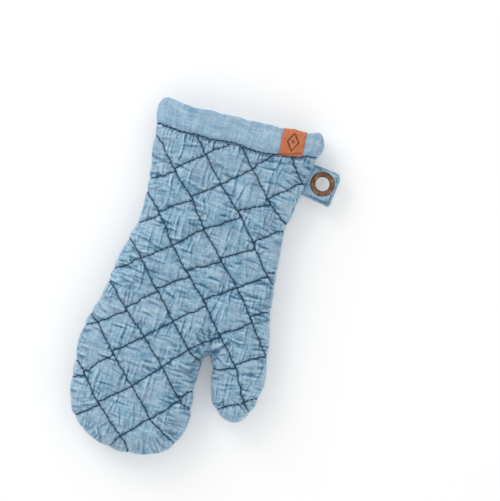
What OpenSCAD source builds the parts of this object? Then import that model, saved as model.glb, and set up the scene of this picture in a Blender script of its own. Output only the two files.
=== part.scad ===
// Quilted oven mitt, lying flat on its back panel.
// Millimetres. +X towards the thumb side, +Y towards the mouth, +Z up from the floor.

/* [Overall size] */
// Length from the fingertip to the highest point of the mouth
mitt_length = 320; // [290:1:350]
// Width of the mitt body without the hanging tab
mitt_width = 171.5; // [155:0.5:190]
// Height of the side seam above the floor
seam_height = 16; // [12:0.5:20]
// Rise of the front panel above the side seam
front_rise = 24; // [16:0.5:30]
// How much lower the front panel is at the mouth
mouth_drop = 6; // [0:0.5:10]
// Distance from the seam over which a panel rises to its full height
edge_roll = 34; // [24:1:40]

/* [Layers] */
// Thickness of the outer shell cloth
shell_thickness = 1.2; // [0.8:0.1:2]
// Thickness of the batting
batting_thickness = 4; // [2:0.1:6]
// Thickness of the lining cloth
lining_thickness = 1; // [0.8:0.1:2]
// Width of a sewing thread
thread_width = 0.9; // [0.5:0.1:1.5]
// How far a sewing thread stands above the cloth
thread_height = 0.4; // [0.2:0.05:0.8]

/* [Cuff band] */
// Thickness of the folded band cloth
band_thickness = 1.2; // [0.8:0.1:2]
// Free gap between the band and the layers it covers
band_gap = 0.5; // [0.3:0.05:1]
// Free gap between the mouth end of the layers and the inside of the band's fold
lip_gap = 1.8; // [1:0.1:4]

/* [Leather label] */
// Left edge of the label
label_left = 35.5; // [20:0.5:45]
// Width of the label along the mouth
label_width = 21; // [15:0.5:28]
// Thickness of the leather
leather_thickness = 1.6; // [1:0.1:2.5]
// Free gap between the leather and the band
leather_gap = 0.25; // [0.15:0.05:0.5]

/* [Hanging tab] */
// Thickness of the doubled tab cloth
tab_thickness = 2; // [1.4:0.1:2.4]
// Radius of the hole through the eyelet
eyelet_bore_r = 6.35; // [5:0.05:7]
// Outer radius of the eyelet flange
eyelet_flange_r = 11; // [9:0.1:12]
// Distance from the body seam to the middle of the eyelet
eyelet_reach = 13.3; // [13:0.1:15]

/* [Joints] */
// Clearance where a moving section meets the palm section
flex_gap = 0.5; // [0.3:0.1:1]

/* [Hidden] */
sx = mitt_width / 171.5;
sy = mitt_length / 320;
wall = shell_thickness + batting_thickness + lining_thickness;
batting_depth = shell_thickness + batting_thickness;
seam_thread_depth = wall + 1.2;
profile_power = 2.2;
cloth_blue = [0.55, 0.68, 0.80];
band_blue = [0.60, 0.73, 0.84];
thread_navy = [0.12, 0.22, 0.34];
batting_white = [0.93, 0.92, 0.88];
lining_blue = [0.66, 0.74, 0.82];
leather_tan = [0.75, 0.42, 0.25];
metal_copper = [0.45, 0.30, 0.20];

// The side seam runs from the left of the mouth, round the hand, the crotch and the thumb, to its right
run_left = [
    [-77, 152], [-77, 141], [-76, 130], [-75, 118], [-73, 105], [-71, 95], [-70, 80], [-69, 65], [-68.5, 53],
    [-70, 42], [-73, 33], [-75, 22], [-78, 10], [-80, -2], [-81, -10], [-82.5, -22], [-84.5, -32], [-88, -42],
    [-91, -52], [-92.5, -62]
];
run_finger_left = [
    [-92.5, -62], [-93.5, -72], [-93, -81], [-92, -90], [-91, -100], [-90.5, -110], [-88.5, -120],
    [-85, -130], [-80, -139]
];
run_finger_tip = [
    [-80, -139], [-68, -149.5], [-57, -155.5], [-43, -159], [-30, -160], [-18, -159], [-8, -157], [3, -152.5],
    [11, -146]
];
run_finger_right = [
    [11, -146], [16, -138], [20, -128], [21.5, -118], [21.3, -109], [20, -100], [19, -90], [18.5, -80],
    [19, -70], [20, -62]
];
run_thumb_left = [[23, -57], [26.5, -62], [28, -67], [30, -77], [33, -88], [37, -97]];
run_thumb_tip = [[37, -97], [43, -103.5], [50, -107.5], [57, -109], [64, -107], [70, -101], [73.5, -94]];
run_thumb_right = [
    [73.5, -94], [76.5, -83], [78, -68], [77, -58], [75, -45], [73, -33], [70.5, -22], [68, -12]
];
run_right = [
    [68, -12], [66.5, 0], [65.5, 10], [64, 25], [62.3, 42], [61, 55], [60.5, 68], [62.5, 80], [64.5, 95],
    [66, 103], [68.2, 117.5], [70.5, 133], [72, 141], [73, 152]
];
// Heights along the mouth and along the row of stitches that holds the band
mouth_edge = [
    [-79, 151], [-77, 152.5], [-71, 155.5], [-60, 154], [-40, 153], [-20, 154.5], [0, 155], [20, 155.5],
    [40, 156], [56, 156.5], [60, 158], [65, 160], [70, 158.5], [73, 154.5], [76, 152]
];
hem_edge = [[-80, 130.5], [36, 130.5], [50, 134], [64, 137], [76, 138]];

function scaled(a) = [for (p = a) [p[0] * sx, p[1] * sy]];
function rest(a) = [for (i = [1 : len(a) - 1]) a[i]];
seam = scaled(concat(run_left, rest(run_finger_left), rest(run_finger_tip), rest(run_finger_right),
                     run_thumb_left, rest(run_thumb_tip), rest(run_thumb_right), rest(run_right)));
n_seam = len(seam);
// Places in the seam: left end of the fingers, tip's left and right, right end of the fingers, crotch,
// thumb tip's left and right, and the thumb's root on the right
i_fl = len(run_left) - 1;
i_tl = i_fl + len(run_finger_left) - 1;
i_tr = i_tl + len(run_finger_tip) - 1;
i_fr = i_tr + len(run_finger_right) - 1;
i_apex = i_fr + 1;
i_ttl = i_apex + len(run_thumb_left) - 1;
i_ttr = i_ttl + len(run_thumb_tip) - 1;
i_th = i_ttr + len(run_thumb_right) - 1;
thumb_way = [1, -1] / sqrt(2);
y_flex = -62 * sy;
x_crotch = 21 * sx;

function unit(v) = v / max(norm(v), 1e-9);
function left_normal(i) = let (d = unit(seam[i + 1] - seam[i])) [-d[1], d[0]];
function inward(i) =
    i == 0 ? left_normal(0)
    : i == n_seam - 1 ? left_normal(n_seam - 2)
    : unit(left_normal(i - 1) + left_normal(i));
// Where a layer ends, its inner points slide along the cut instead of straight inwards
function slide_dir(i) =
    i == 0 || i == i_fl ? [1, 0]
    : i == n_seam - 1 || i == i_fr ? [-1, 0]
    : i == i_apex ? unit([1, 1])
    : i == i_th ? unit([-1, -1])
    : inward(i);
function slide_gain(i) = i == i_apex ? 1 : 1 / max(0.6, inward(i) * slide_dir(i));
// who: 0 palm, 1 fingers, 2 thumb
function gap_shift(i, who) =
    who == 1 && (i == i_fl || i == i_fr) ? [0, -flex_gap]
    : who == 2 && (i == i_apex || i == i_th) ? flex_gap * thumb_way
    : [0, 0];
function inset(i, d, who) = seam[i] + d * slide_gain(i) * slide_dir(i) + gap_shift(i, who);
function inset_run(a, b, d, who) = [for (i = [a : a < b ? 1 : -1 : b]) inset(i, d, who)];

function lengths(a) = [
    for (i = 0, s = 0; i < len(a); i = i + 1, s = s + (i < len(a) ? norm(a[i] - a[i - 1]) : 0)) s
];
function along(a, t, l) = let (
        s = t * l[len(l) - 1],
        k = min(len(a) - 2, max(0, len([for (x = l) if (x <= s) 1]) - 1)),
        f = (s - l[k]) / max(1e-9, l[k + 1] - l[k]))
    a[k] + min(1, max(0, f)) * (a[k + 1] - a[k]);

function seg_dist(p, a, b) = let (
        ab = b - a,
        t = min(1, max(0, ((p - a) * ab) / (ab * ab))))
    norm(p - a - t * ab);
function line_dist(p, line) = min([for (i = [0 : len(line) - 2]) seg_dist(p, line[i], line[i + 1])]);
// The seam at depth d, carried on straight past the mouth so that distances from it stay true there
past_mouth = [0, 20];
function seam_line(d) = let (line = [for (i = [0 : n_seam - 1]) inset(i, d, 0)])
    concat([line[0] + past_mouth], line, [line[n_seam - 1] + past_mouth]);
outer_seam = seam_line(0);
function smooth(t) = let (c = min(1, max(0, t))) c * c * (3 - 2 * c);
// Height of a panel above or under the seam; the front sinks and the back lifts towards the mouth
mouth_drop_from = 40;
mouth_drop_run = 110;
back_lift = 1.6;
back_lift_from = 95;
back_lift_run = 32;
function rise(y, s) =
    s > 0 ? front_rise - mouth_drop * smooth((y / sy - mouth_drop_from) / mouth_drop_run)
    : seam_height - back_lift * smooth((y / sy - back_lift_from) / back_lift_run);
function roll(q) = let (c = min(1, max(0, q))) pow(1 - pow(1 - c, profile_power), 1 / profile_power);
// A point on the panel, s = 1 front and s = -1 back, at depth d under the shell's outside
function on_panel(p, d, s, flat = false) = [
    p[0],
    p[1],
    flat ? seam_height
    : seam_height + s * (rise(p[1], s) - d) * roll((line_dist(p, outer_seam) - d) / (edge_roll - d))
];

// Steps of the layers' grids, closer together near the seam, the cuts and the mouth
u_hand = 0.605;
u_apex = 0.62;
u_palm = [
    0, .015, .05, .11, .19, .28, .37, .46, .53, .58, .605, .62, .64, .68, .74, .82, .9, .955, .985, 1
];
u_fingers = [for (u = u_palm) if (u <= u_hand) u / u_hand];
u_thumb = [for (u = u_palm) if (u >= u_apex) (u - u_apex) / (1 - u_apex)];
v_palm = [0, .09, .18, .27, .36, .45, .54, .63, .72, .80, .87, .925, .965, 1];
v_fingers = [0, .13, .27, .41, .55, .68, .79, .88, .945, .985, 1];
v_thumb = [0, .12, .27, .44, .6, .75, .87, .96, 1];

function mouth_y(x) = lookup(x / sx, mouth_edge) * sy;
function hem_y(x) = lookup(x / sx, hem_edge) * sy;
function layer_end_y(x) = mouth_y(x) - band_thickness - lip_gap;

// A point inside four edges: top t, bottom b, left l, right r, and the four corners
function coons(t, b, l, r, u, v, c00, c10, c01, c11) =
    (1 - v) * t + v * b + (1 - u) * l + u * r
    - ((1 - u) * (1 - v) * c00 + u * (1 - v) * c10 + (1 - u) * v * c01 + u * v * c11);

// The palm's lower edge: along the finger cut, across the crotch, and along the thumb cut
function palm_bottom(u, a, b, c, e) =
    u <= u_hand ? a + (b - a) * u / u_hand
    : u <= u_apex ? b + (c - b) * (u - u_hand) / (u_apex - u_hand)
    : c + (e - c) * (u - u_apex) / (1 - u_apex);
function palm_grid(d, s) = let (
        lr = inset_run(0, i_fl, d, 0),
        rr = inset_run(n_seam - 1, i_th, d, 0),
        a = inset(i_fl, d, 0),
        b = inset(i_fr, d, 0),
        c = inset(i_apex, d, 0),
        e = inset(i_th, d, 0),
        x0 = lr[0][0],
        x1 = rr[0][0],
        tops = [for (u = u_palm) let (x = x0 + u * (x1 - x0)) [x, layer_end_y(x)]],
        top_l = tops[0],
        top_r = tops[len(tops) - 1],
        l2 = concat([top_l], rest(lr)),
        r2 = concat([top_r], rest(rr)),
        l_len = lengths(l2),
        r_len = lengths(r2))
    [for (v = v_palm) let (lp = along(l2, v, l_len), rp = along(r2, v, r_len))
        for (i = [0 : len(u_palm) - 1]) let (
                u = u_palm[i],
                p = coons(tops[i], palm_bottom(u, a, b, c, e), lp, rp, u, v, top_l, top_r, a, e),
                at_crotch = v == 1 && u >= u_hand && u <= u_apex)
            on_panel(p, d, s, u == 0 || u == 1 || at_crotch)];

// i_a to i_b is the free left side, i_b to i_c the tip, i_c to i_d the free right side
function limb_grid(d, s, who, us, vs, i_a, i_b, i_c, i_d) = let (
        lr = inset_run(i_a, i_b, d, who),
        tr = inset_run(i_b, i_c, d, who),
        rr = inset_run(i_d, i_c, d, who),
        l_len = lengths(lr),
        t_len = lengths(tr),
        r_len = lengths(rr),
        a = lr[0],
        e = rr[0])
    [for (v = vs) let (lp = along(lr, v, l_len), rp = along(rr, v, r_len))
        for (u = us) let (
                tip = along(tr, u, t_len),
                p = coons(a + u * (e - a), tip, lp, rp, u, v, a, e, tr[0], tr[len(tr) - 1]))
            on_panel(p, d, s, u == 0 || u == 1 || v == 1)];
function grid(who, d, s) =
    who == 0 ? palm_grid(d, s)
    : who == 1 ? limb_grid(d, s, 1, u_fingers, v_fingers, i_fl, i_tl, i_tr, i_fr)
    : limb_grid(d, s, 2, u_thumb, v_thumb, i_apex, i_ttl, i_ttr, i_th);
function count_u(who) = who == 0 ? len(u_palm) : who == 1 ? len(u_fingers) : len(u_thumb);
function count_v(who) = who == 0 ? len(v_palm) : who == 1 ? len(v_fingers) : len(v_thumb);

function turned(f, s) = s > 0 ? f : [for (t = f) [t[0], t[2], t[1]]];
// Triangles of a closed slab between an upper grid and a lower grid of nu by nv points
function slab_faces(nu, nv) = let (n = nu * nv) concat(
    [for (j = [0 : nv - 2], i = [0 : nu - 2]) let (a = j * nu + i, b = a + 1, c = b + nu, d = a + nu)
        each [[a, b, c], [a, c, d], [n + a, n + c, n + b], [n + a, n + d, n + c]]],
    [for (i = [0 : nu - 2]) let (a = i, b = i + 1)
        each [[b, a, n + a], [b, n + a, n + b]]],
    [for (i = [0 : nu - 2]) let (d = (nv - 1) * nu + i, c = d + 1)
        each [[d, c, n + c], [d, n + c, n + d]]],
    [for (j = [0 : nv - 2]) let (b = j * nu + nu - 1, c = b + nu)
        each [[c, b, n + b], [c, n + b, n + c]]],
    [for (j = [0 : nv - 2]) let (a = j * nu, d = a + nu)
        each [[a, d, n + d], [a, n + d, n + a]]]);

// One cloth or batting layer of one section, between two depths
module layer(who, s, d1, d2) {
    points = concat(grid(who, d1, s), grid(who, d2, s));
    faces = turned(slab_faces(count_u(who), count_v(who)), s);
    polyhedron(points = points, faces = faces, convexity = 6);
}

// Quads round k closed loops of n points each, the first point being number at
function sweep_faces(n, k, at, s) = [
    for (j = [0 : k - 2], i = [0 : n - 1]) let (
            a = at + j * n + i,
            b = at + j * n + (i + 1) % n,
            c = b + n,
            d = a + n)
        each turned([[a, b, c], [a, c, d]], s)
];
function cap(n, at, s) = s > 0 ? [for (i = [n - 1 : -1 : 0]) at + i] : [for (i = [0 : n - 1]) at + i];
// A folded strip's end: eight points in order round a U, filled as its three arms
fold_arms = [[0, 1, 6, 7], [1, 2, 5, 6], [2, 3, 4, 5]];
function fold_cap(at, s) = [
    for (q = fold_arms)
        each turned([[at + q[0], at + q[2], at + q[1]], [at + q[0], at + q[3], at + q[2]]], s)
];
module fold_sweep(loops, s) {
    k = len(loops);
    faces = concat(sweep_faces(8, k, 0, s), fold_cap(0, s), fold_cap((k - 1) * 8, -s));
    polyhedron(points = [for (l = loops) each l], faces = faces, convexity = 6);
}

// The band's surface at depth d, which is negative outside the shell
function on_band(p, d, s, flat) = let (away = line_dist(p, seam_line(d)))
    [p[0], p[1], flat ? seam_height : seam_height + s * (rise(p[1], s) - d) * roll(away / (edge_roll - d))];
// The band's lower edge lies a little below its row of stitches
hem_margin = 1.2;
function seam_x(i, d, y) = let (p = inset(i, d, 0), q = inset(i + 1, d, 0))
    p[0] + (q[0] - p[0]) * (y - p[1]) / (q[1] - p[1]);
function band_x(u, d) = let (x0 = inset(0, d, 0)[0], x1 = inset(n_seam - 1, d, 0)[0]) x0 + u * (x1 - x0);
function band_low(u, d, s) = let (
        y = hem_y(band_x(u, d)) - hem_margin,
        y_left = hem_y(band_x(0, d)) - hem_margin,
        y_right = hem_y(band_x(1, d)) - hem_margin,
        above = len([for (p = run_left) if (p[1] * sy > y) 1]) - 1,
        below = len([for (p = run_right) if (p[1] * sy < y) 1]) - 1,
        x_left = seam_x(above, d, y_left),
        x_right = seam_x(i_th + below, d, y_right))
    on_band([x_left + u * (x_right - x_left), y], d, s, u == 0 || u == 1);
function band_top(u, d, s, lift = 0) = let (x = band_x(u, d))
    on_band([x, mouth_y(x) + lift], d, s, u == 0 || u == 1);
// f = 0 at the band's lower edge, f = 1 at the mouth
function band_at(u, f, d, s) = (1 - f) * band_low(u, d, s) + f * band_top(u, d, s);
band_left = 77 * sx;
band_span = 150 * sx;
label_u = [for (k = [0 : 3]) (label_left * sx + k * label_width / 3 + band_left) / band_span];
u_band = concat([for (u = u_palm) if (u < label_u[0] - 0.01) u], label_u,
                [.93, .955, .97, .985, .993, 1]);
band_out = -band_gap - band_thickness;
band_in = wall + band_gap + band_thickness;

module cuff_band(s) {
    fold_sweep([for (u = u_band) [
        band_low(u, band_out, s),
        band_top(u, band_out, s),
        band_top(u, band_in, s),
        band_low(u, band_in, s),
        band_low(u, wall + band_gap, s),
        band_top(u, wall + band_gap, s, -band_thickness),
        band_top(u, -band_gap, s, -band_thickness),
        band_low(u, -band_gap, s)
    ]], s);
}

// A strip of thread across p, from height h0 to h1 along up
function strip_loop(p, side, up, w, h0, h1) = [
    p + side * w / 2 + up * h0,
    p + side * w / 2 + up * h1,
    p - side * w / 2 + up * h1,
    p - side * w / 2 + up * h0
];
slope_step = 0.6;
function slope_up(p, d, s) = let (
        e = slope_step,
        q = [p[0], p[1]],
        zx = (on_panel(q + [e, 0], d, s)[2] - on_panel(q - [e, 0], d, s)[2]) / (2 * e),
        zy = (on_panel(q + [0, e], d, s)[2] - on_panel(q - [0, e], d, s)[2]) / (2 * e))
    s * unit([-zx, -zy, 1]);
function strip_points(a, b, n, s, h0, h1) = let (m = b - a) [
    for (k = [0 : n]) let (
            p = on_panel(a + m * k / n, 0, s),
            up = slope_up(p, 0, s),
            side = unit(cross(up, [m[0], m[1], 0])))
        each strip_loop(p, side, up, thread_width, h0, h1)
];
// Closed bars of four-sided loops: starts[i] is the first point of bar i, and it has counts[i] loops
module bars(points, starts, counts) {
    faces = [for (i = [0 : len(starts) - 1]) each concat(
        sweep_faces(4, counts[i], starts[i], -1),
        [cap(4, starts[i], -1)],
        [cap(4, starts[i] + 4 * (counts[i] - 1), 1)])];
    polyhedron(points = points, faces = faces, convexity = 6);
}
module even_bars(points, count) {
    n = len(points) / (4 * count);
    bars(points, [for (i = [0 : n - 1]) i * 4 * count], [for (i = [0 : n - 1]) count]);
}

// Quilting lines: corner points of the diamond lattice, one list per line of stitching
lines_a = [
    [[47, 129], [63.5, 114]],
    [[5, 129], [18, 114], [40, 91], [59, 76]],
    [[-38, 129], [-27, 118], [-6, 94], [17, 72], [37, 49], [56, 26], [62.5, 21]],
    [[-73, 120], [-50, 96], [-28, 75], [-10, 52], [11, 29], [32, 8], [52, -15], [71.5, -41]],
    [[-67, 69], [-53, 55], [-33, 30], [-14, 9], [8, -12], [28, -38], [48, -60], [66, -89], [71, -96]],
    [[-72, 26], [-58, 12], [-36, -12], [-15, -35], [6, -56], [18, -64]],
    [[-79, -16], [-59, -35], [-36, -55], [-14, -77], [10, -101], [18.5, -106]],
    [[-88, -47], [-82, -53], [-60, -76], [-36, -100], [-13, -123], [11, -139]],
    [[-89, -92], [-81, -100], [-60, -123], [-34, -147], [-26, -157]]
];
lines_b = [
    [[-8, 129], [-27, 115], [-50, 96], [-68, 83]],
    [[30, 129], [18, 114], [-6, 94], [-28, 75], [-53, 55], [-66.5, 44]],
    [[63.5, 111], [40, 91], [17, 72], [-10, 52], [-33, 30], [-58, 12], [-77, -2]],
    [[59, 67], [37, 49], [11, 29], [-14, 9], [-36, -12], [-59, -35], [-82, -53], [-90, -59]],
    [[62.5, 30], [56, 26], [32, 8], [8, -12], [-15, -35], [-36, -55], [-60, -76], [-81, -100], [-89, -105]],
    [[65.5, -6], [52, -15], [28, -38], [6, -56], [-14, -77], [-36, -100], [-60, -123], [-78, -138]],
    [[18, -92], [10, -101], [-13, -123], [-34, -147], [-41, -156]],
    [[72, -44], [48, -60], [29, -67]],
    [[75.5, -80], [66, -89], [43, -101]]
];
function pieces(lines) = [for (l = lines) let (q = scaled(l)) for (i = [0 : len(q) - 2]) [q[i], q[i + 1]]];
// How far p lies inside a section, past the cuts that bound it; outside is a point in none of it
outside = -99;
function side_of(p, who) = let (
        right = p[0] > x_crotch,
        below_cut = y_flex - flex_gap - p[1],
        past_cut = (p - seam[i_apex]) * thumb_way - flex_gap)
    who == 1 ? (right ? outside : below_cut)
    : who == 2 ? (right ? past_cut : outside)
    : right || p[1] > y_flex ? min(right ? -outside : p[1] - y_flex, -past_cut - flex_gap)
    : p[1] - y_flex;
// The part of a piece of line that lies a margin m or more inside the section, or nothing
function clipped(e, who, m) = let (
        a = side_of(e[0], who) - m,
        b = side_of(e[1], who) - m,
        cut = e[0] + (e[1] - e[0]) * (a / (a - b)))
    a <= 0 && b <= 0 ? [] : [a > 0 ? e[0] : cut, b > 0 ? e[1] : cut];
function shortened(e, m) = let (d = unit(e[1] - e[0])) [e[0] + m * d, e[1] - m * d];
crossing_gap = 0.9;
cut_margin = 0.6;
shortest_line = 4;
function quilt(who) = [
    for (e = concat(pieces(lines_a), pieces(lines_b)))
        let (c = clipped(shortened(e, crossing_gap), who, cut_margin))
            if (len(c) == 2 && norm(c[1] - c[0]) > shortest_line) c
];
// The front rows stand proud; the back rows are drawn in flush with the cloth, so the mitt lies flat
thread_root = 0.3;
strip_steps = 3;
module quilting(who, s) {
    stand = s > 0 ? thread_height : 0;
    points = [for (e = quilt(who)) each strip_points(e[0], e[1], strip_steps, s, -thread_root, stand)];
    even_bars(points, strip_steps + 1);
}

// Straight stitches set in the band's lower edge
hem_stitch_count = 28;
hem_stitch_first = -68;
hem_stitch_pitch = 4.8;
hem_stitch_length = 3.4;
hem_stitch_root = 0.5;
function hem_point(x) = [x, hem_y(x) - 0.1];
module hem_stitches(s) {
    stand = s > 0 ? 0.25 : 0.1;
    even_bars([
        for (k = [0 : hem_stitch_count - 1]) let (
                x = (hem_stitch_first + k * hem_stitch_pitch) * sx,
                a = on_panel(hem_point(x), band_out, s),
                b = on_panel(hem_point(x + hem_stitch_length), band_out, s),
                up = [0, 0, s],
                side = unit(cross(up, b - a)))
            each [for (p = [a, b]) each strip_loop(p, side, up, thread_width, -hem_stitch_root, stand)]
    ], 2);
}

// Seam thread just inside the lining, in the plane of the seam
seam_thread_width = 0.6;
module seam_thread(runs) {
    counts = [for (r = runs) len(r)];
    starts = [for (i = 0, at = 0; i < len(runs); at = at + 4 * counts[i], i = i + 1) at];
    points = [
        for (r = runs, i = [0 : len(r) - 1]) let (
                t = unit(r[min(i + 1, len(r) - 1)] - r[max(i - 1, 0)]),
                side = [-t[1], t[0], 0],
                q = [r[i][0], r[i][1], seam_height],
                half = seam_thread_width / 2)
            each strip_loop(q, side, [0, 0, 1], seam_thread_width, -half, half)
    ];
    bars(points, starts, counts);
}
// The rows of the palm end below the band: so many seam points short of the mouth
under_band = 3;

// Sections of cloth and batting
module shell_front_palm() {
    color(cloth_blue) layer(0, 1, 0, shell_thickness);
}
module shell_front_fingers() {
    color(cloth_blue) layer(1, 1, 0, shell_thickness);
}
module shell_front_thumb() {
    color(cloth_blue) layer(2, 1, 0, shell_thickness);
}
// The palm's back shell stands a touch proud and is trimmed flush with the floor
floor_trim = 0.08;
module floor_cut() {
    difference() {
        children();
        translate([-150, -220, -10]) cube([300, 440, 10]);
    }
}
module shell_back_palm() {
    color(cloth_blue) floor_cut() layer(0, -1, -floor_trim, shell_thickness);
}
module shell_back_fingers() {
    color(cloth_blue) layer(1, -1, 0, shell_thickness);
}
module shell_back_thumb() {
    color(cloth_blue) layer(2, -1, 0, shell_thickness);
}
module batting_front_palm() {
    color(batting_white) layer(0, 1, shell_thickness, batting_depth);
}
module batting_front_fingers() {
    color(batting_white) layer(1, 1, shell_thickness, batting_depth);
}
module batting_front_thumb() {
    color(batting_white) layer(2, 1, shell_thickness, batting_depth);
}
module batting_back_palm() {
    color(batting_white) layer(0, -1, shell_thickness, batting_depth);
}
module batting_back_fingers() {
    color(batting_white) layer(1, -1, shell_thickness, batting_depth);
}
module batting_back_thumb() {
    color(batting_white) layer(2, -1, shell_thickness, batting_depth);
}
module lining_front_palm() {
    color(lining_blue) layer(0, 1, batting_depth, wall);
}
module lining_front_fingers() {
    color(lining_blue) layer(1, 1, batting_depth, wall);
}
module lining_front_thumb() {
    color(lining_blue) layer(2, 1, batting_depth, wall);
}
module lining_back_palm() {
    color(lining_blue) layer(0, -1, batting_depth, wall);
}
module lining_back_fingers() {
    color(lining_blue) layer(1, -1, batting_depth, wall);
}
module lining_back_thumb() {
    color(lining_blue) layer(2, -1, batting_depth, wall);
}

// Sewing threads
module quilting_front_palm() {
    color(thread_navy) quilting(0, 1);
}
module quilting_front_fingers() {
    color(thread_navy) quilting(1, 1);
}
module quilting_front_thumb() {
    color(thread_navy) quilting(2, 1);
}
module quilting_back_palm() {
    color(thread_navy) quilting(0, -1);
}
module quilting_back_fingers() {
    color(thread_navy) quilting(1, -1);
}
module quilting_back_thumb() {
    color(thread_navy) quilting(2, -1);
}
module seam_thread_palm() {
    left = inset_run(under_band, i_fl, seam_thread_depth, 0);
    right = inset_run(i_th, n_seam - 1 - under_band, seam_thread_depth, 0);
    color(thread_navy) seam_thread([left, right]);
}
module seam_thread_fingers() {
    color(thread_navy) seam_thread([inset_run(i_fl, i_fr, seam_thread_depth, 1)]);
}
module seam_thread_thumb() {
    color(thread_navy) seam_thread([inset_run(i_apex, i_th, seam_thread_depth, 2)]);
}

module cuff_band_front() {
    color(band_blue) cuff_band(1);
}
module cuff_band_back() {
    color(band_blue) cuff_band(-1);
}
module hem_stitching_front() {
    color(thread_navy) hem_stitches(1);
}
module hem_stitching_back() {
    color(thread_navy) hem_stitches(-1);
}

// The label is folded over the front lip: a long leaf outside and a shorter one inside
label_leaf_from = 0.04;
label_leaf_inside = 0.45;
label_face = band_out - leather_gap;
label_inner_face = band_in + leather_gap;
module leather_label() {
    t = leather_thickness;
    color(leather_tan) fold_sweep([for (u = label_u) [
        band_at(u, label_leaf_from, label_face - t, 1),
        band_top(u, label_face - t, 1, leather_gap + t),
        band_top(u, label_inner_face + t, 1, leather_gap + t),
        band_at(u, label_leaf_inside, label_inner_face + t, 1),
        band_at(u, label_leaf_inside, label_inner_face, 1),
        band_top(u, label_inner_face, 1, leather_gap),
        band_top(u, label_face, 1, leather_gap),
        band_at(u, label_leaf_from, label_face, 1)
    ]], 1);
}
// The hem's stitches run on across the label, rising a little from its left edge to its right
label_stitch_count = 6;
label_stitch_width = 0.8;
label_stitch_depth = 0.7;
label_stitch_low = 0.03;
label_stitch_rise = 0.1;
function label_stitch_end(share) = band_at(
    label_u[0] + (label_u[3] - label_u[0]) * share,
    label_leaf_from + label_stitch_low + label_stitch_rise * share,
    label_face - leather_thickness, 1);
module label_stitching() {
    color(thread_navy) for (k = [0 : label_stitch_count - 1]) {
        p = label_stitch_end((k + 0.22) / label_stitch_count);
        m = label_stitch_end((k + 0.78) / label_stitch_count) - p;
        translate(p)
            rotate([0, -atan2(m[2], norm([m[0], m[1]])), 0])
                rotate([0, 0, atan2(m[1], m[0])])
                    translate([0, -label_stitch_width / 2, -label_stitch_depth / 2])
                        cube([norm(m), label_stitch_width, label_stitch_depth]);
    }
}

// Hanging tab: its rolled base edge lies a little outside the seam and is its hinge line
tab_z = seam_height;
tab_low = [66 * sx, 103 * sy];
tab_high = [70.5 * sx, 133 * sy];
tab_dir = unit(tab_high - tab_low);
tab_out = [tab_dir[1], -tab_dir[0]];
hinge_off = tab_thickness / 2 + 0.6;
tab_a = tab_low + tab_out * hinge_off + tab_dir * 0.3;
tab_b = tab_high + tab_out * hinge_off - tab_dir * 0.3;
tab_c = tab_low + [28.7, 23.5];
tab_d = tab_low + [24.8, -3];
tab_e = tab_high + [21.5, -2.4];
eyelet_at = (tab_low + tab_high) / 2 + [eyelet_reach, -0.5];
module tab_outline() {
    polygon([
        tab_a,
        tab_d - [0.9, -0.1],
        tab_d + [0.1, 0.9],
        tab_c - [0, 1.5],
        tab_c + [-0.6, 0.7],
        tab_e + [0.6, -0.3],
        tab_e,
        tab_b
    ]);
}
barrel_wall = 0.6;
hole_play = 0.1;
module hanging_tab() {
    color(cloth_blue) difference() {
        union() {
            translate([0, 0, tab_z - tab_thickness / 2]) linear_extrude(tab_thickness) tab_outline();
            translate([tab_a[0], tab_a[1], tab_z])
                rotate([0, 0, atan2(tab_dir[1], tab_dir[0])])
                    rotate([0, 90, 0])
                        cylinder(r = tab_thickness / 2, h = norm(tab_b - tab_a), $fn = 32);
        }
        translate([eyelet_at[0], eyelet_at[1], tab_z - tab_thickness])
            cylinder(r = eyelet_bore_r + barrel_wall + hole_play, h = 2 * tab_thickness, $fn = 64);
    }
}
// n stitches from p to q at height z
tab_stitch_width = 0.8;
tab_stitch_depth = 0.7;
module stitch_row(p, q, n, z) {
    m = q - p;
    for (k = [0 : n - 1])
        translate([p[0], p[1], z])
            rotate([0, 0, atan2(m[1], m[0])])
                translate([norm(m) * (k + 0.15) / n, -tab_stitch_width / 2, -tab_stitch_depth / 2])
                    cube([norm(m) * 0.7 / n, tab_stitch_width, tab_stitch_depth]);
}
module tab_stitching() {
    color(thread_navy) for (z = [tab_z - tab_thickness / 2, tab_z + tab_thickness / 2]) {
        stitch_row(tab_a + [3, 1.9], tab_d + [-2.2, 2.0], 7, z);
        stitch_row(tab_b + [3, -2.1], tab_e + [-2.0, -2.1], 6, z);
    }
}
eyelet_mid = (eyelet_flange_r + eyelet_bore_r) / 2;
eyelet_half = (eyelet_flange_r - eyelet_bore_r) / 2;
eyelet_crown = 1;
barrel_foot = 0.9;
washer_thickness = 0.8;
washer_edge = 0.3;
module eyelet() {
    barrel = eyelet_bore_r + barrel_wall;
    low = -tab_thickness / 2 - barrel_foot;
    high = tab_thickness / 2;
    crown = [for (a = [0 : 15 : 180]) [eyelet_mid + eyelet_half * cos(a), high + eyelet_crown * sin(a)]];
    color(metal_copper) translate([eyelet_at[0], eyelet_at[1], tab_z])
        rotate_extrude($fn = 96)
            polygon(concat([[eyelet_bore_r, low], [barrel, low], [barrel, high]], crown));
}
module eyelet_washer() {
    inner = eyelet_bore_r + barrel_wall + 0.02;
    outer = eyelet_flange_r - washer_edge;
    color(metal_copper) translate([eyelet_at[0], eyelet_at[1], tab_z - tab_thickness / 2 - washer_thickness])
        rotate_extrude($fn = 96) polygon([
            [inner, 0],
            [outer - 0.5, 0],
            [outer, washer_thickness / 2],
            [outer, washer_thickness],
            [inner, washer_thickness]
        ]);
}

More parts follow.
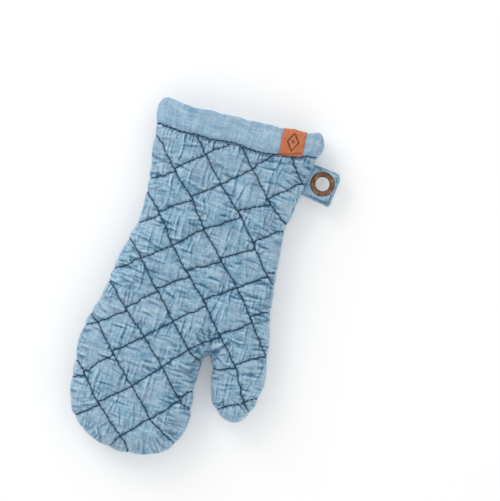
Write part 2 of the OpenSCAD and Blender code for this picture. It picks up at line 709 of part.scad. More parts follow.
shell_front_palm();
shell_front_fingers();
shell_front_thumb();
shell_back_palm();
shell_back_fingers();
shell_back_thumb();
batting_front_palm();
batting_front_fingers();
batting_front_thumb();
batting_back_palm();
batting_back_fingers();
batting_back_thumb();
lining_front_palm();
lining_front_fingers();
lining_front_thumb();
lining_back_palm();
lining_back_fingers();
lining_back_thumb();
quilting_front_palm();
quilting_front_fingers();
quilting_front_thumb();
quilting_back_palm();
quilting_back_fingers();
quilting_back_thumb();
seam_thread_palm();
seam_thread_fingers();
seam_thread_thumb();
cuff_band_front();
cuff_band_back();
hem_stitching_front();
hem_stitching_back();
leather_label();
label_stitching();
hanging_tab();
tab_stitching();
eyelet();
eyelet_washer();
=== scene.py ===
"""Looks of the quilted oven mitt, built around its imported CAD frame. Working units are millimetres."""

import math

import bpy
import numpy as np
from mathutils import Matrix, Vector, geometry, kdtree, noise


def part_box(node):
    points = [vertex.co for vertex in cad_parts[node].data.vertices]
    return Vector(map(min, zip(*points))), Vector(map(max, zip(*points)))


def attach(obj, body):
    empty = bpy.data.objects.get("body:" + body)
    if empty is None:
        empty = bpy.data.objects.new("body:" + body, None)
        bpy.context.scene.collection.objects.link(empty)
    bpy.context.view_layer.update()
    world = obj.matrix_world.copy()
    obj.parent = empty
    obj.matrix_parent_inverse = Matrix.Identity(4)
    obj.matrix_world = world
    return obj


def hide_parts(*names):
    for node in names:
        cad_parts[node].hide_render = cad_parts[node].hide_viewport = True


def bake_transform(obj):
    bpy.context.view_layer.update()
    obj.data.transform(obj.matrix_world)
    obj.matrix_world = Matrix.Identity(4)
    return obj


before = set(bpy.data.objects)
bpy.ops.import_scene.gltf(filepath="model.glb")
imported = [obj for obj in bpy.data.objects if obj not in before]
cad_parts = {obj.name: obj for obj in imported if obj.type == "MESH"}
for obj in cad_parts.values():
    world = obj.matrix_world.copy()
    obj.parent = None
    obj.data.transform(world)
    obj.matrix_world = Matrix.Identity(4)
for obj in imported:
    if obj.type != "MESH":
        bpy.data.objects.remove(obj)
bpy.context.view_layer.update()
MM = 0.001
rng = np.random.default_rng(7)

# ---------------------------------------------------------------- sizes, in mm

# The padded body
EDGE_ROLL = 34.0  # how far in from the seam a panel reaches its full height
PROFILE_POWER = 2.2  # how full the rounded edge is; 2 is an ellipse
MOUTH_DROP = 6.0  # the front is this much lower at the mouth than at the fingers
DROP_FROM, DROP_OVER = 40.0, 110.0  # where along y that begins, and how far it takes
BACK_LIFT = 1.6  # the back's mouth lies this far above the table
LIFT_FROM, LIFT_OVER = 95.0, 32.0
SHELL_T = 0.7  # thickness of the outer cloth
WALL = 6.2  # shell, batting and lining together
CROTCH_X = 23.0
THUMB_CUT = 79.4  # the thumb begins where x - y is more than this
CROTCH = (CROTCH_X, CROTCH_X - THUMB_CUT)
CUT_END_X = 75.5  # the cut between hand and thumb ends here, at the thumb's outer seam
THUMB_BEND = 45.0  # a joint's bend is spread over this length of cloth
FINGER_BEND_FROM = -58.0
FINGER_BEND_TO = -118.0
ON_SEAM = 0.02  # a point nearer to the side seam than this is on it

# The quilted cloth before and after it swells
GRID = 1.9  # spacing of the panel's mesh
PANEL_RINGS = (0.14, 0.5, 1.15, 2.1, 3.4, 5.1, 7.1, 9.4)  # rows of mesh points that follow the seam
PLAN_X, PLAN_Y = (-98, 84), (-162, 160)  # the mesh's grid covers the whole plan
ROW_GAP = 0.866  # between rows of an even triangle grid, as a share of its step
PUFF_SINK = 2.0  # the pads start this far under the CAD surface and swell up to it
LINE_SINK = 3.6  # the quilting lines are drawn in this far
SEAM_TUCK = 1.5  # the seam itself is pulled in between the two panels
SCALLOP = 1.0  # the side seam dips this far where the quilting meets it
MOST_SWELL = 4.0  # no point of the cloth moves further than this
SIM_SCALE = 10.0  # the cloth is simulated this much larger than it is
CLOTH_FRAMES = 20
CLOTH = {
    "quality": 5,
    "mass": 0.15,
    "tension_stiffness": 25,
    "compression_stiffness": 25,
    "shear_stiffness": 8,
    "bending_stiffness": 0.25,
    "air_damping": 2,
    "shrink_min": -0.035,  # the cloth grows by this share
    "use_pressure": True,
    "uniform_pressure_force": 14.0,
}
WEAVE_MM = 0.62  # from one thread of the cloth to the next
LINE_SHADE = 0.18  # how much painted shade darkens the cloth right beside the quilting

# Pressed creases: how many, from and to what length, how wide and how deep
LONG_CREASES = {"count": 300, "length": (12, 32), "width": 0.72, "depth": 0.31, "lip": 0.9, "spread": 7}
CROSS_CREASES = {"count": 420, "length": (8, 22), "width": 1.0, "depth": 0.42, "lip": 0.7}
PUCKERS = {"count": 420, "length": (4, 9), "width": 0.6, "depth": 0.22, "lip": 0.8, "spread": 14}
HEM_PLEATS = {"count": 80, "length": (5, 12), "width": 0.55, "depth": 0.3, "lip": 0.9}
CROTCH_PLEATS = {"count": 26, "length": (9, 20), "width": 0.9, "depth": 0.5}

# Sewing
THREAD_R = 0.56
FINE_THREAD_R = 0.3
STITCH_PITCH = 4.1
LINE_STEP = 1.5  # spacing of the mesh points along the quilting
JOG_STEPS = (0, 0, 1, 1, 2)  # how many steps off the crossing a run may meet the line, taken at random
STITCH_ALONG = np.array((0, 0.12, 0.36, 0.66, 0.88, 1.0))  # one stitch's points, as shares of its length
STITCH_ACROSS = np.array((-1, -0.7, 0.2, 0.9, 1, 0.8))  # and of its sway to the side

# The cuff band: f runs from its hem (0) to the lip (1)
CUFF_WIDTH = 150.0
BAND_HEIGHT = 24.0  # about how far the lip is from the hem
FOLD_HEIGHT = 26.0  # a rounder figure for the same, for the fold and for distances along the cloth
HEM_MARGIN = 0.5  # the band ends this far below the hem's line
HEM_TUCK = 3.0  # the hem is drawn down this far by its stitches
HEM_NARROW = 2.0  # and drawn in this far at its ends
BAND_T = 1.0
BAND_OUT = -1.1  # depth of the band's outer layer under the smooth surface, so above it
BAND_IN = 7.3  # and of its inner layer

# The leather label
BAND_LEFT, BAND_SPAN = -76.0, 148.4  # the band's left end, and its width at the label's height
LABEL_LEFT = 35.5
LABEL_WIDTH = 20.6
LABEL_T = 1.5
LABEL_LIFT = 1.5  # from the band's middle to the leather's
LABEL_FROM = 0.04  # its lower edge in front, as f
LABEL_INSIDE = 0.45  # its lower edge behind the lip
LABEL_LEAN = 1.4  # the leaves slant this far sideways, one each way
LABEL_MIDDLE = 3.0  # depths under this are on the label's outer leaf
MARK_MIDDLE = 12.5  # height of the lozenge's middle over the label's lower edge
MARK_HALF = (5.0, 8.2)  # half the lozenge's width and height

# The hanging tab and its eyelet
TAB_T = 2.0
TAB_ROOT = np.array(((67.63, 103.06), (72.04, 132.47)))
TAB_LOW_END = np.array(((24.2, -4.2), (25.3, -2.4), (28.3, 21.5), (27.4, 24.2)))  # from the root's low end
TAB_HIGH_END = np.array(((21.6, -2.8), (20.4, -2.3)))  # from its high end
TAB_STITCH_TURNS = np.array(((23.1, -1.1), (25.7, 21.9)))  # from its low end
TAB_HOLE_R = 7.05  # the hole in the cloth, round the eyelet's barrel
TAB_SEWN_IN = 3.2  # how far the tab reaches in between the two panels
TAB_STITCH_IN = 2.1  # the tab's stitches are this far in from its edge
TAB_HOLD = 17.0  # how far along the seam the tab holds it straight, each way from its middle
EYELET_HOLE_R = 6.35
EYELET_PRESS_R = 11.5  # the cloth is pressed flat this far from the eyelet's middle
EYELET_CLEAR = 11.9  # the tab's stitches keep this far from it

# The picture
LENS = 200.0
SENSOR = 36.0
VIEW_WIDTH = 447.4  # the picture's width at the height VIEW_LEVEL
VIEW_LEVEL = 20.0
VIEW_CENTRE = (34.3, 43.4)
PICTURE_TURN = 15.0  # degrees
ROOM_LIGHT = 0.76
WINDOW_LIGHT = 11.0
FILL_LIGHT = 3.0


def box_mm(node):
    lo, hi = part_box(node)
    return np.array(lo) / MM, np.array(hi) / MM


SEAM_Z = box_mm("shell_back_palm")[1][2]
FRONT_RISE = box_mm("shell_front_fingers")[1][2] - SEAM_Z


# The side seam from the left of the mouth, round the hand, the crotch and the thumb
SEAM = [
    (-77.4, 162), (-77, 152), (-76.6, 141), (-76, 130), (-75, 118), (-73, 105), (-71, 95), (-70, 80),
    (-69, 65), (-68.5, 53), (-70, 42), (-73, 33), (-75, 22), (-78, 10), (-80, -2), (-81, -10),
    (-82.5, -22), (-84.5, -32), (-88, -42), (-91, -52), (-92.5, -62), (-93.5, -72), (-93, -81),
    (-92, -90), (-91, -100), (-90.5, -110), (-88.5, -120), (-85, -130), (-80, -139), (-68, -149.5),
    (-57, -155.5), (-43, -159), (-30, -160), (-18, -159), (-8, -157), (3, -152.5), (11, -146), (16, -138),
    (20, -128), (21.5, -118), (21.3, -109), (20, -100), (19, -90), (18.5, -80), (19, -70), (20, -62),
    (21.2, -58.6), (23, -57), (24.9, -58.9), (26.5, -62), (28, -67), (30, -77), (33, -88), (37, -97),
    (43, -103.5), (50, -107.5), (57, -109), (64, -107), (70, -101), (73.5, -94), (76.5, -83), (78, -68),
    (77, -58), (75, -45), (73, -33), (70.5, -22), (68, -12), (66.5, 0), (65.5, 10), (64, 25), (62.3, 42),
    (61, 55), (60.5, 68), (62.5, 80), (64.5, 95), (66, 103), (68.2, 117.5), (70.5, 133), (72, 141),
    (73, 152), (73.6, 162),
]
# The lip of the mouth and the lower edge of the band, from left to right
MOUTH = [
    (-81, 144), (-79, 149), (-77.5, 152.4), (-75, 155.2), (-71, 156.3), (-64, 155.4), (-52, 153.2),
    (-40, 153.4), (-29, 154.6), (-20, 153.9), (-8, 155.2), (6, 154.6), (20, 155.8), (33, 155.2),
    (45, 156.2), (56, 156.8), (61, 158.8), (66, 160.0), (70, 158.6), (73, 154.6), (75, 149), (76.5, 143),
]
HEM = [
    (-82, 131.6), (-70, 131.4), (-52, 129.6), (-40, 130.6), (-27, 129.4), (-12, 131.2), (2, 131.4),
    (18, 129.6), (30, 130.6), (38, 132.0), (50, 134.2), (60, 136.6), (68, 138.0), (78, 138.4),
]

# Lines of quilting through the crossings of the diamond lattice
LINES_A = [
    [(47, 136), (65.5, 113), (70, 108)],
    [(2, 132), (18, 114), (40, 91), (61, 74), (66, 70)],
    [(-40, 132), (-27, 118), (-6, 94), (17, 72), (37, 49), (56, 26), (66, 17)],
    [(-80, 128), (-73, 120), (-50, 96), (-28, 75), (-10, 52), (11, 29), (32, 8), (52, -15), (73, -43)]
    + [(80, -52)],
    [(-74, 76), (-53, 55), (-33, 30), (-14, 9), (8, -12), (28, -38), (48, -60), (66, -89), (78, -105)],
    [(-80, 34), (-58, 12), (-36, -12), (-15, -35), (6, -56), (18, -63), (24, -67)],
    [(-86, -9), (-59, -35), (-36, -55), (-14, -77), (10, -101), (24, -108)],
    [(-96, -40), (-82, -53), (-60, -76), (-36, -100), (-13, -123), (18, -143)],
    [(-97, -85), (-81, -100), (-60, -123), (-34, -147), (-20, -163)],
]
LINES_B = [
    [(-6, 132), (-27, 115), (-50, 96), (-76, 78)],
    [(33, 132), (18, 114), (-6, 94), (-28, 75), (-53, 55), (-74, 38)],
    [(70, 117), (40, 91), (17, 72), (-10, 52), (-33, 30), (-58, 12), (-84, -7)],
    [(66, 72), (37, 49), (11, 29), (-14, 9), (-36, -12), (-59, -35), (-82, -53), (-98, -63)],
    [(68, 32), (56, 26), (32, 8), (8, -12), (-15, -35), (-36, -55), (-60, -76), (-81, -100), (-96, -110)],
    [(73, -3), (52, -15), (28, -38), (6, -56), (-14, -77), (-36, -100), (-60, -123), (-84, -143)],
    [(24, -86), (10, -101), (-13, -123), (-34, -147), (-46, -163)],
    [(80, -40), (48, -60), (26, -69)],
    [(80, -78), (66, -89), (38, -103)],
]


def panel_top_y(x):
    """The quilted shell ends a little way under the band."""
    return hem_y(x) + 1.2


def layers_top_y(x):
    """The batting and the lining reach up inside the band's fold."""
    return mouth_y(x) - 4.5


# ---------------------------------------------------------------- plane geometry


def lengths(line):
    """Distance along a line to each of its points."""
    return np.concatenate([[0], np.cumsum(np.linalg.norm(np.diff(line, axis=0), axis=1))])


def at_lengths(line, s, wanted):
    """Points of a line at the wanted distances, where s is the distance to each of its points."""
    return np.stack([np.interp(wanted, s, line[:, k]) for k in range(line.shape[1])], axis=1)


def resample(line, step):
    """The same line with points about step apart."""
    line = np.asarray(line, float)
    s = lengths(line)
    return at_lengths(line, s, np.linspace(0, s[-1], max(2, int(round(s[-1] / step)) + 1)))


def curve_through(points, step):
    """A smooth line through the points (Catmull-Rom)."""
    p = np.asarray(points, float)
    q = np.vstack([2 * p[0] - p[1], p, 2 * p[-1] - p[-2]])
    t = np.linspace(0, 1, 24, endpoint=False)[:, None]
    out = []
    for i in range(len(p) - 1):
        a, b, c, d = q[i : i + 4]
        bend = (2 * a - 5 * b + 4 * c - d) * t**2 + (3 * b - a - 3 * c + d) * t**3
        out.append(0.5 * (2 * b + (c - a) * t + bend))
    return resample(np.vstack([*out, p[-1:]]), step)


def point_tree(points):
    """A tree of the points' places in plan, in which near ones are quick to find."""
    tree = kdtree.KDTree(len(points))
    for i, p in enumerate(points):
        tree.insert((p[0], p[1], 0.0), i)
    tree.balance()
    return tree


class Tracks:
    """Fixed lines, with a tree of their points, so that the way to the nearest one is quick to find."""

    def __init__(self, lines):
        self.points = np.vstack(lines)
        counts = np.array([len(line) for line in lines])
        last = np.cumsum(counts) - 2
        self.first = np.repeat(last + 2 - counts, counts)
        self.last = np.repeat(last, counts)
        self.tree = point_tree(self.points)

    def near(self, xy):
        """Distance to the nearest line, positive on its left, and the unit direction to its left."""
        xy = np.asarray(xy, float)
        index = np.array([self.tree.find((x, y, 0.0))[1] for x, y in xy])
        best = np.full(len(xy), np.inf)
        gap, along = np.zeros_like(xy), np.zeros_like(xy)
        for shift in (-2, -1, 0, 1):
            i = np.clip(index + shift, self.first[index], self.last[index])
            a = self.points[i]
            ab = self.points[i + 1] - a
            t = np.clip(((xy - a) * ab).sum(1) / np.maximum((ab**2).sum(1), 1e-12), 0, 1)
            way = xy - a - t[:, None] * ab
            far = np.linalg.norm(way, axis=1)
            closer = far < best
            best[closer], gap[closer], along[closer] = far[closer], way[closer], ab[closer]
        left = np.column_stack([-along[:, 1], along[:, 0]])
        left /= np.linalg.norm(left, axis=1, keepdims=True)
        side = np.where((gap * left).sum(1) < 0, -1.0, 1.0)
        clear = best > 0.05
        left[clear] = (gap * side[:, None] / np.maximum(best, 1e-9)[:, None])[clear]
        return best * side, left

    def distance(self, xy):
        return np.abs(self.near(xy)[0])


def inside(points, loop):
    """True for points inside a closed polygon."""
    x, y = points[:, 0], points[:, 1]
    hit = np.zeros(len(points), bool)
    for (x1, y1), (x2, y2) in zip(loop, np.roll(loop, -1, axis=0)):
        cross = (y1 > y) != (y2 > y)
        if y1 != y2:
            hit ^= cross & (x < (x2 - x1) * (y - y1) / (y2 - y1) + x1)
    return hit


def smoothstep(t):
    t = np.clip(t, 0, 1)
    return t * t * (3 - 2 * t)


def left_normals(line):
    d = np.gradient(line, axis=0)
    d /= np.linalg.norm(d, axis=1, keepdims=True)
    return np.stack([-d[:, 1], d[:, 0]], axis=1)


def wobble(line, amplitude, wave):
    """Moves the line's points sideways by a smooth random amount."""
    s = lengths(line)
    knots = np.arange(-wave, s[-1] + 2 * wave, wave)
    push = np.interp(s, knots, rng.normal(0, amplitude, len(knots)))
    return line + left_normals(line) * push[:, None]


hem_line = curve_through(HEM, 0.5)
mouth_line = curve_through(MOUTH, 0.5)


def hem_y(x):
    return np.interp(x, *hem_line.T)


def mouth_y(x):
    return np.interp(x, *mouth_line.T)


def noise_at(points, seed=0.0):
    """Smooth noise from -1 to 1 at each point, whose features are about one unit wide."""
    p = np.column_stack([points, np.full(len(points), seed)])[:, :3]
    return np.array([noise.noise(Vector(v)) for v in p])


# ---------------------------------------------------------------- the padded body's surface

seam_line = curve_through(SEAM, 1.6)
seam_inward = left_normals(seam_line)
seam_track = Tracks([seam_line])


def seam_depth(xy):
    """How far each point lies inside the side seam."""
    return seam_track.near(xy)[0]


def rise(y, side):
    """Full height of a panel over the plane of the seam."""
    if side > 0:
        return FRONT_RISE - MOUTH_DROP * smoothstep((y - DROP_FROM) / DROP_OVER)
    return SEAM_Z - BACK_LIFT * smoothstep((y - LIFT_FROM) / LIFT_OVER)


def roll(q):
    """The rounded edge's section, from 0 at the seam to 1 at full height."""
    return (1 - (1 - np.clip(q, 0, 1)) ** PROFILE_POWER) ** (1 / PROFILE_POWER)


def height(y, away, side, depth=0.0):
    """Height of the padded surface over the plane of the seam, by the distance inside the seam."""
    return (rise(y, side) - depth) * roll((away - depth) / (EDGE_ROLL - depth))


def body_surface(xy, side, depth=0.0):
    """The smooth surface of the front (side 1) or back (side -1), at a depth under the shell."""
    away = seam_depth(xy)
    return np.column_stack([xy, SEAM_Z + side * height(xy[:, 1], away, side, depth)]), away


def surface_normals(xy, side):
    """Outward normals of the smooth surface, and how far inside the seam each point is."""
    e = 0.05
    away, inward = seam_track.near(xy)
    y = xy[:, 1]
    by_depth = (height(y, away + e, side) - height(y, away - e, side)) / (2 * e)
    by_y = (height(y + e, away, side) - height(y - e, away, side)) / (2 * e)
    slope = inward * by_depth[:, None] + np.column_stack([y * 0, by_y])
    n = np.column_stack([-slope, np.full(len(xy), 1.0)])
    n[:, 2] *= side
    return n / np.linalg.norm(n, axis=1, keepdims=True), away


def flat_cloth(xy, side):
    """Where each point lies on the cloth before it was bent round the body."""
    away, inward = seam_track.near(xy)
    away = np.clip(away, 0, EDGE_ROLL)
    t = EDGE_ROLL * np.linspace(0, 1, 400) ** 3
    arc = lengths(np.column_stack([t, rise(0.0, side) * roll(t / EDGE_ROLL)]))
    extra = (arc[-1] - np.interp(away, t, arc)) - (EDGE_ROLL - away)
    return xy - inward * extra[:, None]


def cloth_place(flat, layer):
    """Where points lie on their cloth, in metres; each layer is another stretch of the same weave."""
    return np.column_stack([flat * MM, np.full(len(flat), layer)])


# ---------------------------------------------------------------- mesh helpers


def triangulated(points, edges, rim):
    """Triangles inside the loop of the first rim points, keeping the edges, all turned face up."""
    made = geometry.delaunay_2d_cdt([Vector(p) for p in points], edges, [range(rim)], 1, 1e-4)
    xy = np.array([tuple(v) for v in made[0]])
    tris = np.array([list(f) for f in made[2] if len(f) == 3])
    a, b, c = (xy[tris[:, k]] for k in range(3))
    turn = (b - a)[:, 0] * (c - a)[:, 1] - (b - a)[:, 1] * (c - a)[:, 0]
    tris[turn < 0] = tris[turn < 0][:, ::-1]
    return xy, tris[np.abs(turn) > 1e-4]


def sides_of(tris):
    """The three sides of each triangle, as pairs of points."""
    return np.vstack([tris[:, [0, 1]], tris[:, [1, 2]], tris[:, [2, 0]]])


def new_object(name, verts_mm, faces, **point_values):
    """A mesh object; each point value becomes an attribute that the materials read."""
    mesh = bpy.data.meshes.new(name)
    mesh.from_pydata((np.asarray(verts_mm) * MM).tolist(), [], [[int(i) for i in f] for f in faces])
    mesh.update()
    mesh.polygons.foreach_set("use_smooth", [True] * len(mesh.polygons))
    for key, value in point_values.items():
        value = np.asarray(value, np.float32)
        vector = value.ndim == 2
        layer = mesh.attributes.new(key, "FLOAT_VECTOR" if vector else "FLOAT", "POINT")
        layer.data.foreach_set("vector" if vector else "value", value.ravel())
    obj = bpy.data.objects.new(name, mesh)
    bpy.context.scene.collection.objects.link(obj)
    return obj


def vertex_normals(verts, tris):
    n = np.zeros_like(verts)
    a, b, c = (verts[tris[:, k]] for k in range(3))
    f = np.cross(b - a, c - a)
    for k in range(3):
        np.add.at(n, tris[:, k], f)
    return n / np.maximum(np.linalg.norm(n, axis=1, keepdims=True), 1e-12)


def smoothed(values, tris, rounds):
    """Each value averaged with its neighbours, several times over."""
    pairs = sides_of(tris)
    pairs = np.vstack([pairs, pairs[:, ::-1]])
    count = np.bincount(pairs[:, 0], minlength=len(values))
    for _ in range(rounds):
        total = np.bincount(pairs[:, 0], values[pairs[:, 1]], minlength=len(values))
        values = 0.5 * values + 0.5 * total / np.maximum(count, 1)
    return values


def subdivided(verts, tris):
    """Each triangle in four, the new points set on the curve that the normals give."""
    n = vertex_normals(verts, tris)
    edges, index = np.unique(np.sort(sides_of(tris), axis=1), axis=0, return_inverse=True)
    a, b = edges.T
    along = verts[b] - verts[a]
    lean_a = (along * n[a]).sum(1, keepdims=True) * n[a]
    lean_b = (-along * n[b]).sum(1, keepdims=True) * n[b]
    middle = (verts[a] + verts[b]) / 2 - (lean_a + lean_b) / 8
    ab, bc, ca = index.reshape(3, -1) + len(verts)
    p, q, r = tris.T
    fine = np.stack([p, ab, ca, ab, q, bc, ca, bc, r, ab, bc, ca], axis=1).reshape(-1, 3)
    return np.vstack([verts, middle]), fine, edges


def halves(values, edges):
    """Values at the points that subdivision added, after the values at the old ones."""
    return np.concatenate([values, (values[edges[:, 0]] + values[edges[:, 1]]) / 2])


def border(tris):
    """The edges that only one triangle has, in that triangle's direction."""
    sides = sides_of(tris)
    _, index, count = np.unique(np.sort(sides, axis=1), axis=0, return_inverse=True, return_counts=True)
    return sides[count[index.ravel()] == 1]


def closed_sheet(name, outer, inner, tris, fine_tris=None, edges=None, **point_values):
    """A sheet of cloth with two faces and an edge; its outer face may be the finer one."""
    coarse = len(inner)
    faces = [*(tris if fine_tris is None else fine_tris), *(tris[:, ::-1] + len(outer))]
    middle = {} if edges is None else {tuple(e): coarse + i for i, e in enumerate(edges)}
    for a, b in border(tris):
        between = [middle[min(a, b), max(a, b)]] if middle else []
        faces.append([b, *between, a, a + len(outer), b + len(outer)])
    verts = np.vstack([outer, inner])
    used, index = np.unique(np.concatenate(faces), return_inverse=True)
    ends = np.cumsum([len(f) for f in faces])
    faces = np.split(index, ends[:-1])
    point_values = {k: np.concatenate([v, v[:coarse]])[used] for k, v in point_values.items()}
    return new_object(name, verts[used], faces, **point_values)


def tubes(name, paths, radius, sides=6, **point_values):
    """Many short lengths of thread as one mesh, each with rounded ends."""
    turn = np.linspace(0, 2 * math.pi, sides, endpoint=False)
    verts, faces, twist = [], [], []
    for path in paths:
        path = np.asarray(path)
        n, start = len(path), len(verts)
        d = np.gradient(path, axis=0)
        d /= np.linalg.norm(d, axis=1, keepdims=True)
        across = np.cross(d, (0.05, 0.03, 1.0))
        across /= np.linalg.norm(across, axis=1, keepdims=True)
        up = np.cross(across, d)
        thick = radius * np.where((np.arange(n) == 0) | (np.arange(n) == n - 1), 0.55, 1.0)
        ring = across[:, None] * np.cos(turn)[:, None] + up[:, None] * np.sin(turn)[:, None]
        verts += [*(path[:, None] + ring * thick[:, None, None]).reshape(-1, 3)]
        s = lengths(path)
        twist += [(s[k], turn[j], 0.0) for k in range(n) for j in range(sides)]
        for k in range(n - 1):
            for j in range(sides):
                a, b = start + k * sides + j, start + k * sides + (j + 1) % sides
                faces.append((a, b, b + sides, a + sides))
        faces.append([start + j for j in reversed(range(sides))])
        faces.append([start + (n - 1) * sides + j for j in range(sides)])
    return new_object(name, verts, faces, twist=twist)


# ---------------------------------------------------------------- pieces and the frame

LIMB_PARTS = {"fingers": ("palm", "fingers"), "thumb": ("thumb",)}


def side_name(side):
    return "front" if side > 0 else "back"


def on_thumb(xy):
    """True for points past the thumb's cut."""
    return (xy[:, 0] - xy[:, 1] > THUMB_CUT) & (xy[:, 0] > CROTCH_X)


def by_limb(xy, tris):
    """Which triangles are in the hand's piece, and which in the thumb's."""
    thumb = on_thumb(xy[tris].mean(1))
    return ("fingers", ~thumb), ("thumb", thumb)


def limb_nodes(prefix, limb):
    """The CAD nodes that a limb's piece stands for."""
    return [f"{prefix}_{part}" for part in LIMB_PARTS[limb]]


def limb_blend(piece, limb):
    """Bakes a piece's placement into its mesh; the start and end of its bend from the palm into the fingers
    or the thumb are worked out but not used.
    """
    if limb == "thumb":
        start = np.array((*CROTCH, SEAM_Z))
        end = start + np.array((1, -1, 0)) / math.sqrt(2) * THUMB_BEND
    else:
        start, end = np.array((0, FINGER_BEND_FROM, SEAM_Z)), np.array((0, FINGER_BEND_TO, SEAM_Z))
    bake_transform(piece)


def finished(piece, body, material, nodes):
    """Parents a piece to its body's empty, or bakes it in place for the hand and the thumb, gives it its
    material and hides the CAD nodes that it stands for.
    """
    if body in LIMB_PARTS:
        limb_blend(piece, body)
    else:
        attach(piece, body)
    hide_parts(*nodes)
    piece.data.materials.append(material)


# ---------------------------------------------------------------- quilted panels


def lattice():
    """The quilting lines: unbroken ones, runs that end on them, and the jogs where two runs meet one."""
    first = [along_cloth(wobble(curve_through(points, 0.3), 0.5, 6.5), LINE_STEP) for points in LINES_A]
    owner = {p: line for points, line in zip(LINES_A, first) for p in points}
    runs, jogs = [], []
    for points in LINES_B:
        start = [points[0]]
        for p in points[1:]:
            start.append(p)
            if p in owner:
                line, reach = owner[p], int(rng.choice(JOG_STEPS))
                at = int(np.linalg.norm(line - p, axis=1).argmin())
                jogs.append(line[max(0, at - reach - 1) : at + reach + 2])
                start[-1] = tuple(line[max(0, at - reach)])
                runs.append(start)
                start = [tuple(line[min(len(line) - 1, at + reach)])]
        if len(start) > 1:
            runs.append(start)
    return first, [crossing_run(points) for points in runs if len(points) > 1], jogs


def crossing_run(points):
    """A run of quilting whose ends stay exactly where they are."""
    line = curve_through(points, 0.3)
    s = lengths(line)
    free = smoothstep(np.minimum(s, s[-1] - s) / 4.0)
    line = along_cloth(line + (wobble(line, 0.6, 5.5) - line) * free[:, None], LINE_STEP)
    ends = np.array((points[0], points[-1]), float)
    clear = [np.linalg.norm(line - end, axis=1) > 0.7 * LINE_STEP for end in ends]
    return np.vstack([ends[:1], line[clear[0] & clear[1]], ends[1:]])


def along_cloth(line, step):
    """The line with points a step apart on the curved cloth, and none close to the seam."""
    lifted, _ = body_surface(line, 1)
    s = lengths(lifted)
    line = at_lengths(line, s, np.arange(0, s[-1], step))
    return line[np.abs(seam_depth(line)) > 0.12]


def plan(inset, step, rings, top_y, lines):
    """Triangles of the mitt's plan inside the seam, with the lines and the thumb's cut as edges."""
    rim = seam_line + seam_inward * inset
    rim = rim[rim[:, 1] < top_y(rim[:, 0]) - 0.3]
    top = resample([(p[0], top_y(p[0])) for p in (rim[-1], rim[0])], step)
    top[:, 1] = top_y(top[:, 0])
    loop = np.vstack([rim, top])
    past_crotch = (CROTCH_X, CROTCH[1] - 2.1 - inset)
    cut = resample([past_crotch, CROTCH, (CUT_END_X, CUT_END_X - THUMB_CUT)], 0.3)
    lines = [*lines, along_cloth(cut, step * 0.7)]
    verts, edges = [*loop], []
    for line in lines:
        edges += [(len(verts) + i, len(verts) + i + 1) for i in range(len(line) - 1)]
        verts += [*line]
    cloud = np.vstack([*seam_rings(rings, step), grid_cells(loop, step, rings[-1])])
    cloud = cloud[cloud[:, 1] < top_y(cloud[:, 0]) - step / 2]
    gap = Tracks(lines).distance(cloud)
    cloud = cloud[gap > np.where(seam_depth(cloud) < 8, 0.28, 0.48) * step]
    return triangulated([*verts, *cloud], edges, len(loop))


def seam_rings(rings, step):
    """Rows of points that follow the seam, each at its own distance inside it."""
    for d in rings:
        ring = resample(seam_line + seam_inward * d, step * 0.92)
        yield ring[np.abs(seam_depth(ring) - d) < 0.02 + 0.03 * d]


def grid_cells(loop, step, last_ring):
    """A slightly uneven grid of points over the rest of the plan."""
    ys = np.arange(*PLAN_Y, step * ROW_GAP)
    cells = [(x + step / 2 * (j % 2), y) for j, y in enumerate(ys) for x in np.arange(*PLAN_X, step)]
    cells = np.array(cells) + rng.uniform(-0.12, 0.12, (len(cells), 2)) * step
    cells = cells[inside(cells, loop)]
    return cells[seam_depth(cells) > last_ring + step * 0.6]


def cloth(verts, tris, pins):
    """Lets a pinned sheet of cloth swell and pucker, and returns where its points end up."""
    obj = new_object("sim", verts * SIM_SCALE, tris)
    group = obj.vertex_groups.new(name="pin")
    group.add([int(i) for i in np.flatnonzero(pins)], 1.0, "REPLACE")
    mod = obj.modifiers.new("cloth", "CLOTH")
    for key, value in CLOTH.items():
        setattr(mod.settings, key, value)
    mod.settings.vertex_group_mass = "pin"
    mod.settings.effector_weights.gravity = 0
    mod.collision_settings.use_collision = False
    mod.point_cache.frame_start, mod.point_cache.frame_end = 1, CLOTH_FRAMES
    for f in range(1, CLOTH_FRAMES + 1):
        bpy.context.scene.frame_set(f)
    done = obj.evaluated_get(bpy.context.evaluated_depsgraph_get()).data
    out = np.empty(len(verts) * 3)
    done.vertices.foreach_get("co", out)
    bpy.context.scene.frame_set(1)
    bpy.data.objects.remove(obj)
    return out.reshape(-1, 3) / MM / SIM_SCALE


def sewn_surface(xy, side, line_gap):
    """The panel before it swells: sunk under the smooth surface, most at the quilting lines."""
    out, away = surface_normals(xy, side)
    base = np.column_stack([xy, SEAM_Z + side * height(xy[:, 1], away, side)])
    line_gap = np.minimum(line_gap, np.abs(hem_y(xy[:, 0]) - xy[:, 1]))
    near = np.exp(-((line_gap / 2.5) ** 2))
    sink = (PUFF_SINK + (LINE_SINK - PUFF_SINK) * near) * (0.15 + 0.85 * smoothstep(away / 9))
    made = base - out * sink[:, None]
    rim = away < ON_SEAM
    made[rim] = base[rim]
    free = 1 - beside_tab(xy)
    made[rim, :2] += nearest_inward(xy[rim]) * (SEAM_TUCK * free[rim])[:, None]
    scallop = SCALLOP * (np.exp(-((line_gap / 4.0) ** 2)) - 0.35) * free
    made[:, :2] -= out[:, :2] * (scallop * np.exp(-np.maximum(away, 0) / 7.0))[:, None]
    return made, out, away


def beside_tab(xy):
    """1 where the hanging tab holds the side seam straight, falling to 0 past its corners."""
    middle = TAB_ROOT.mean(0)
    return np.exp(-(((xy[:, 1] - middle[1]) / TAB_HOLD) ** 4)) * (xy[:, 0] > middle[0] - 20)


def nearest_inward(xy):
    """The seam's inward direction at the place nearest to each point."""
    far = ((xy[:, None] - seam_line[None]) ** 2).sum(2)
    return seam_inward[far.argmin(1)]


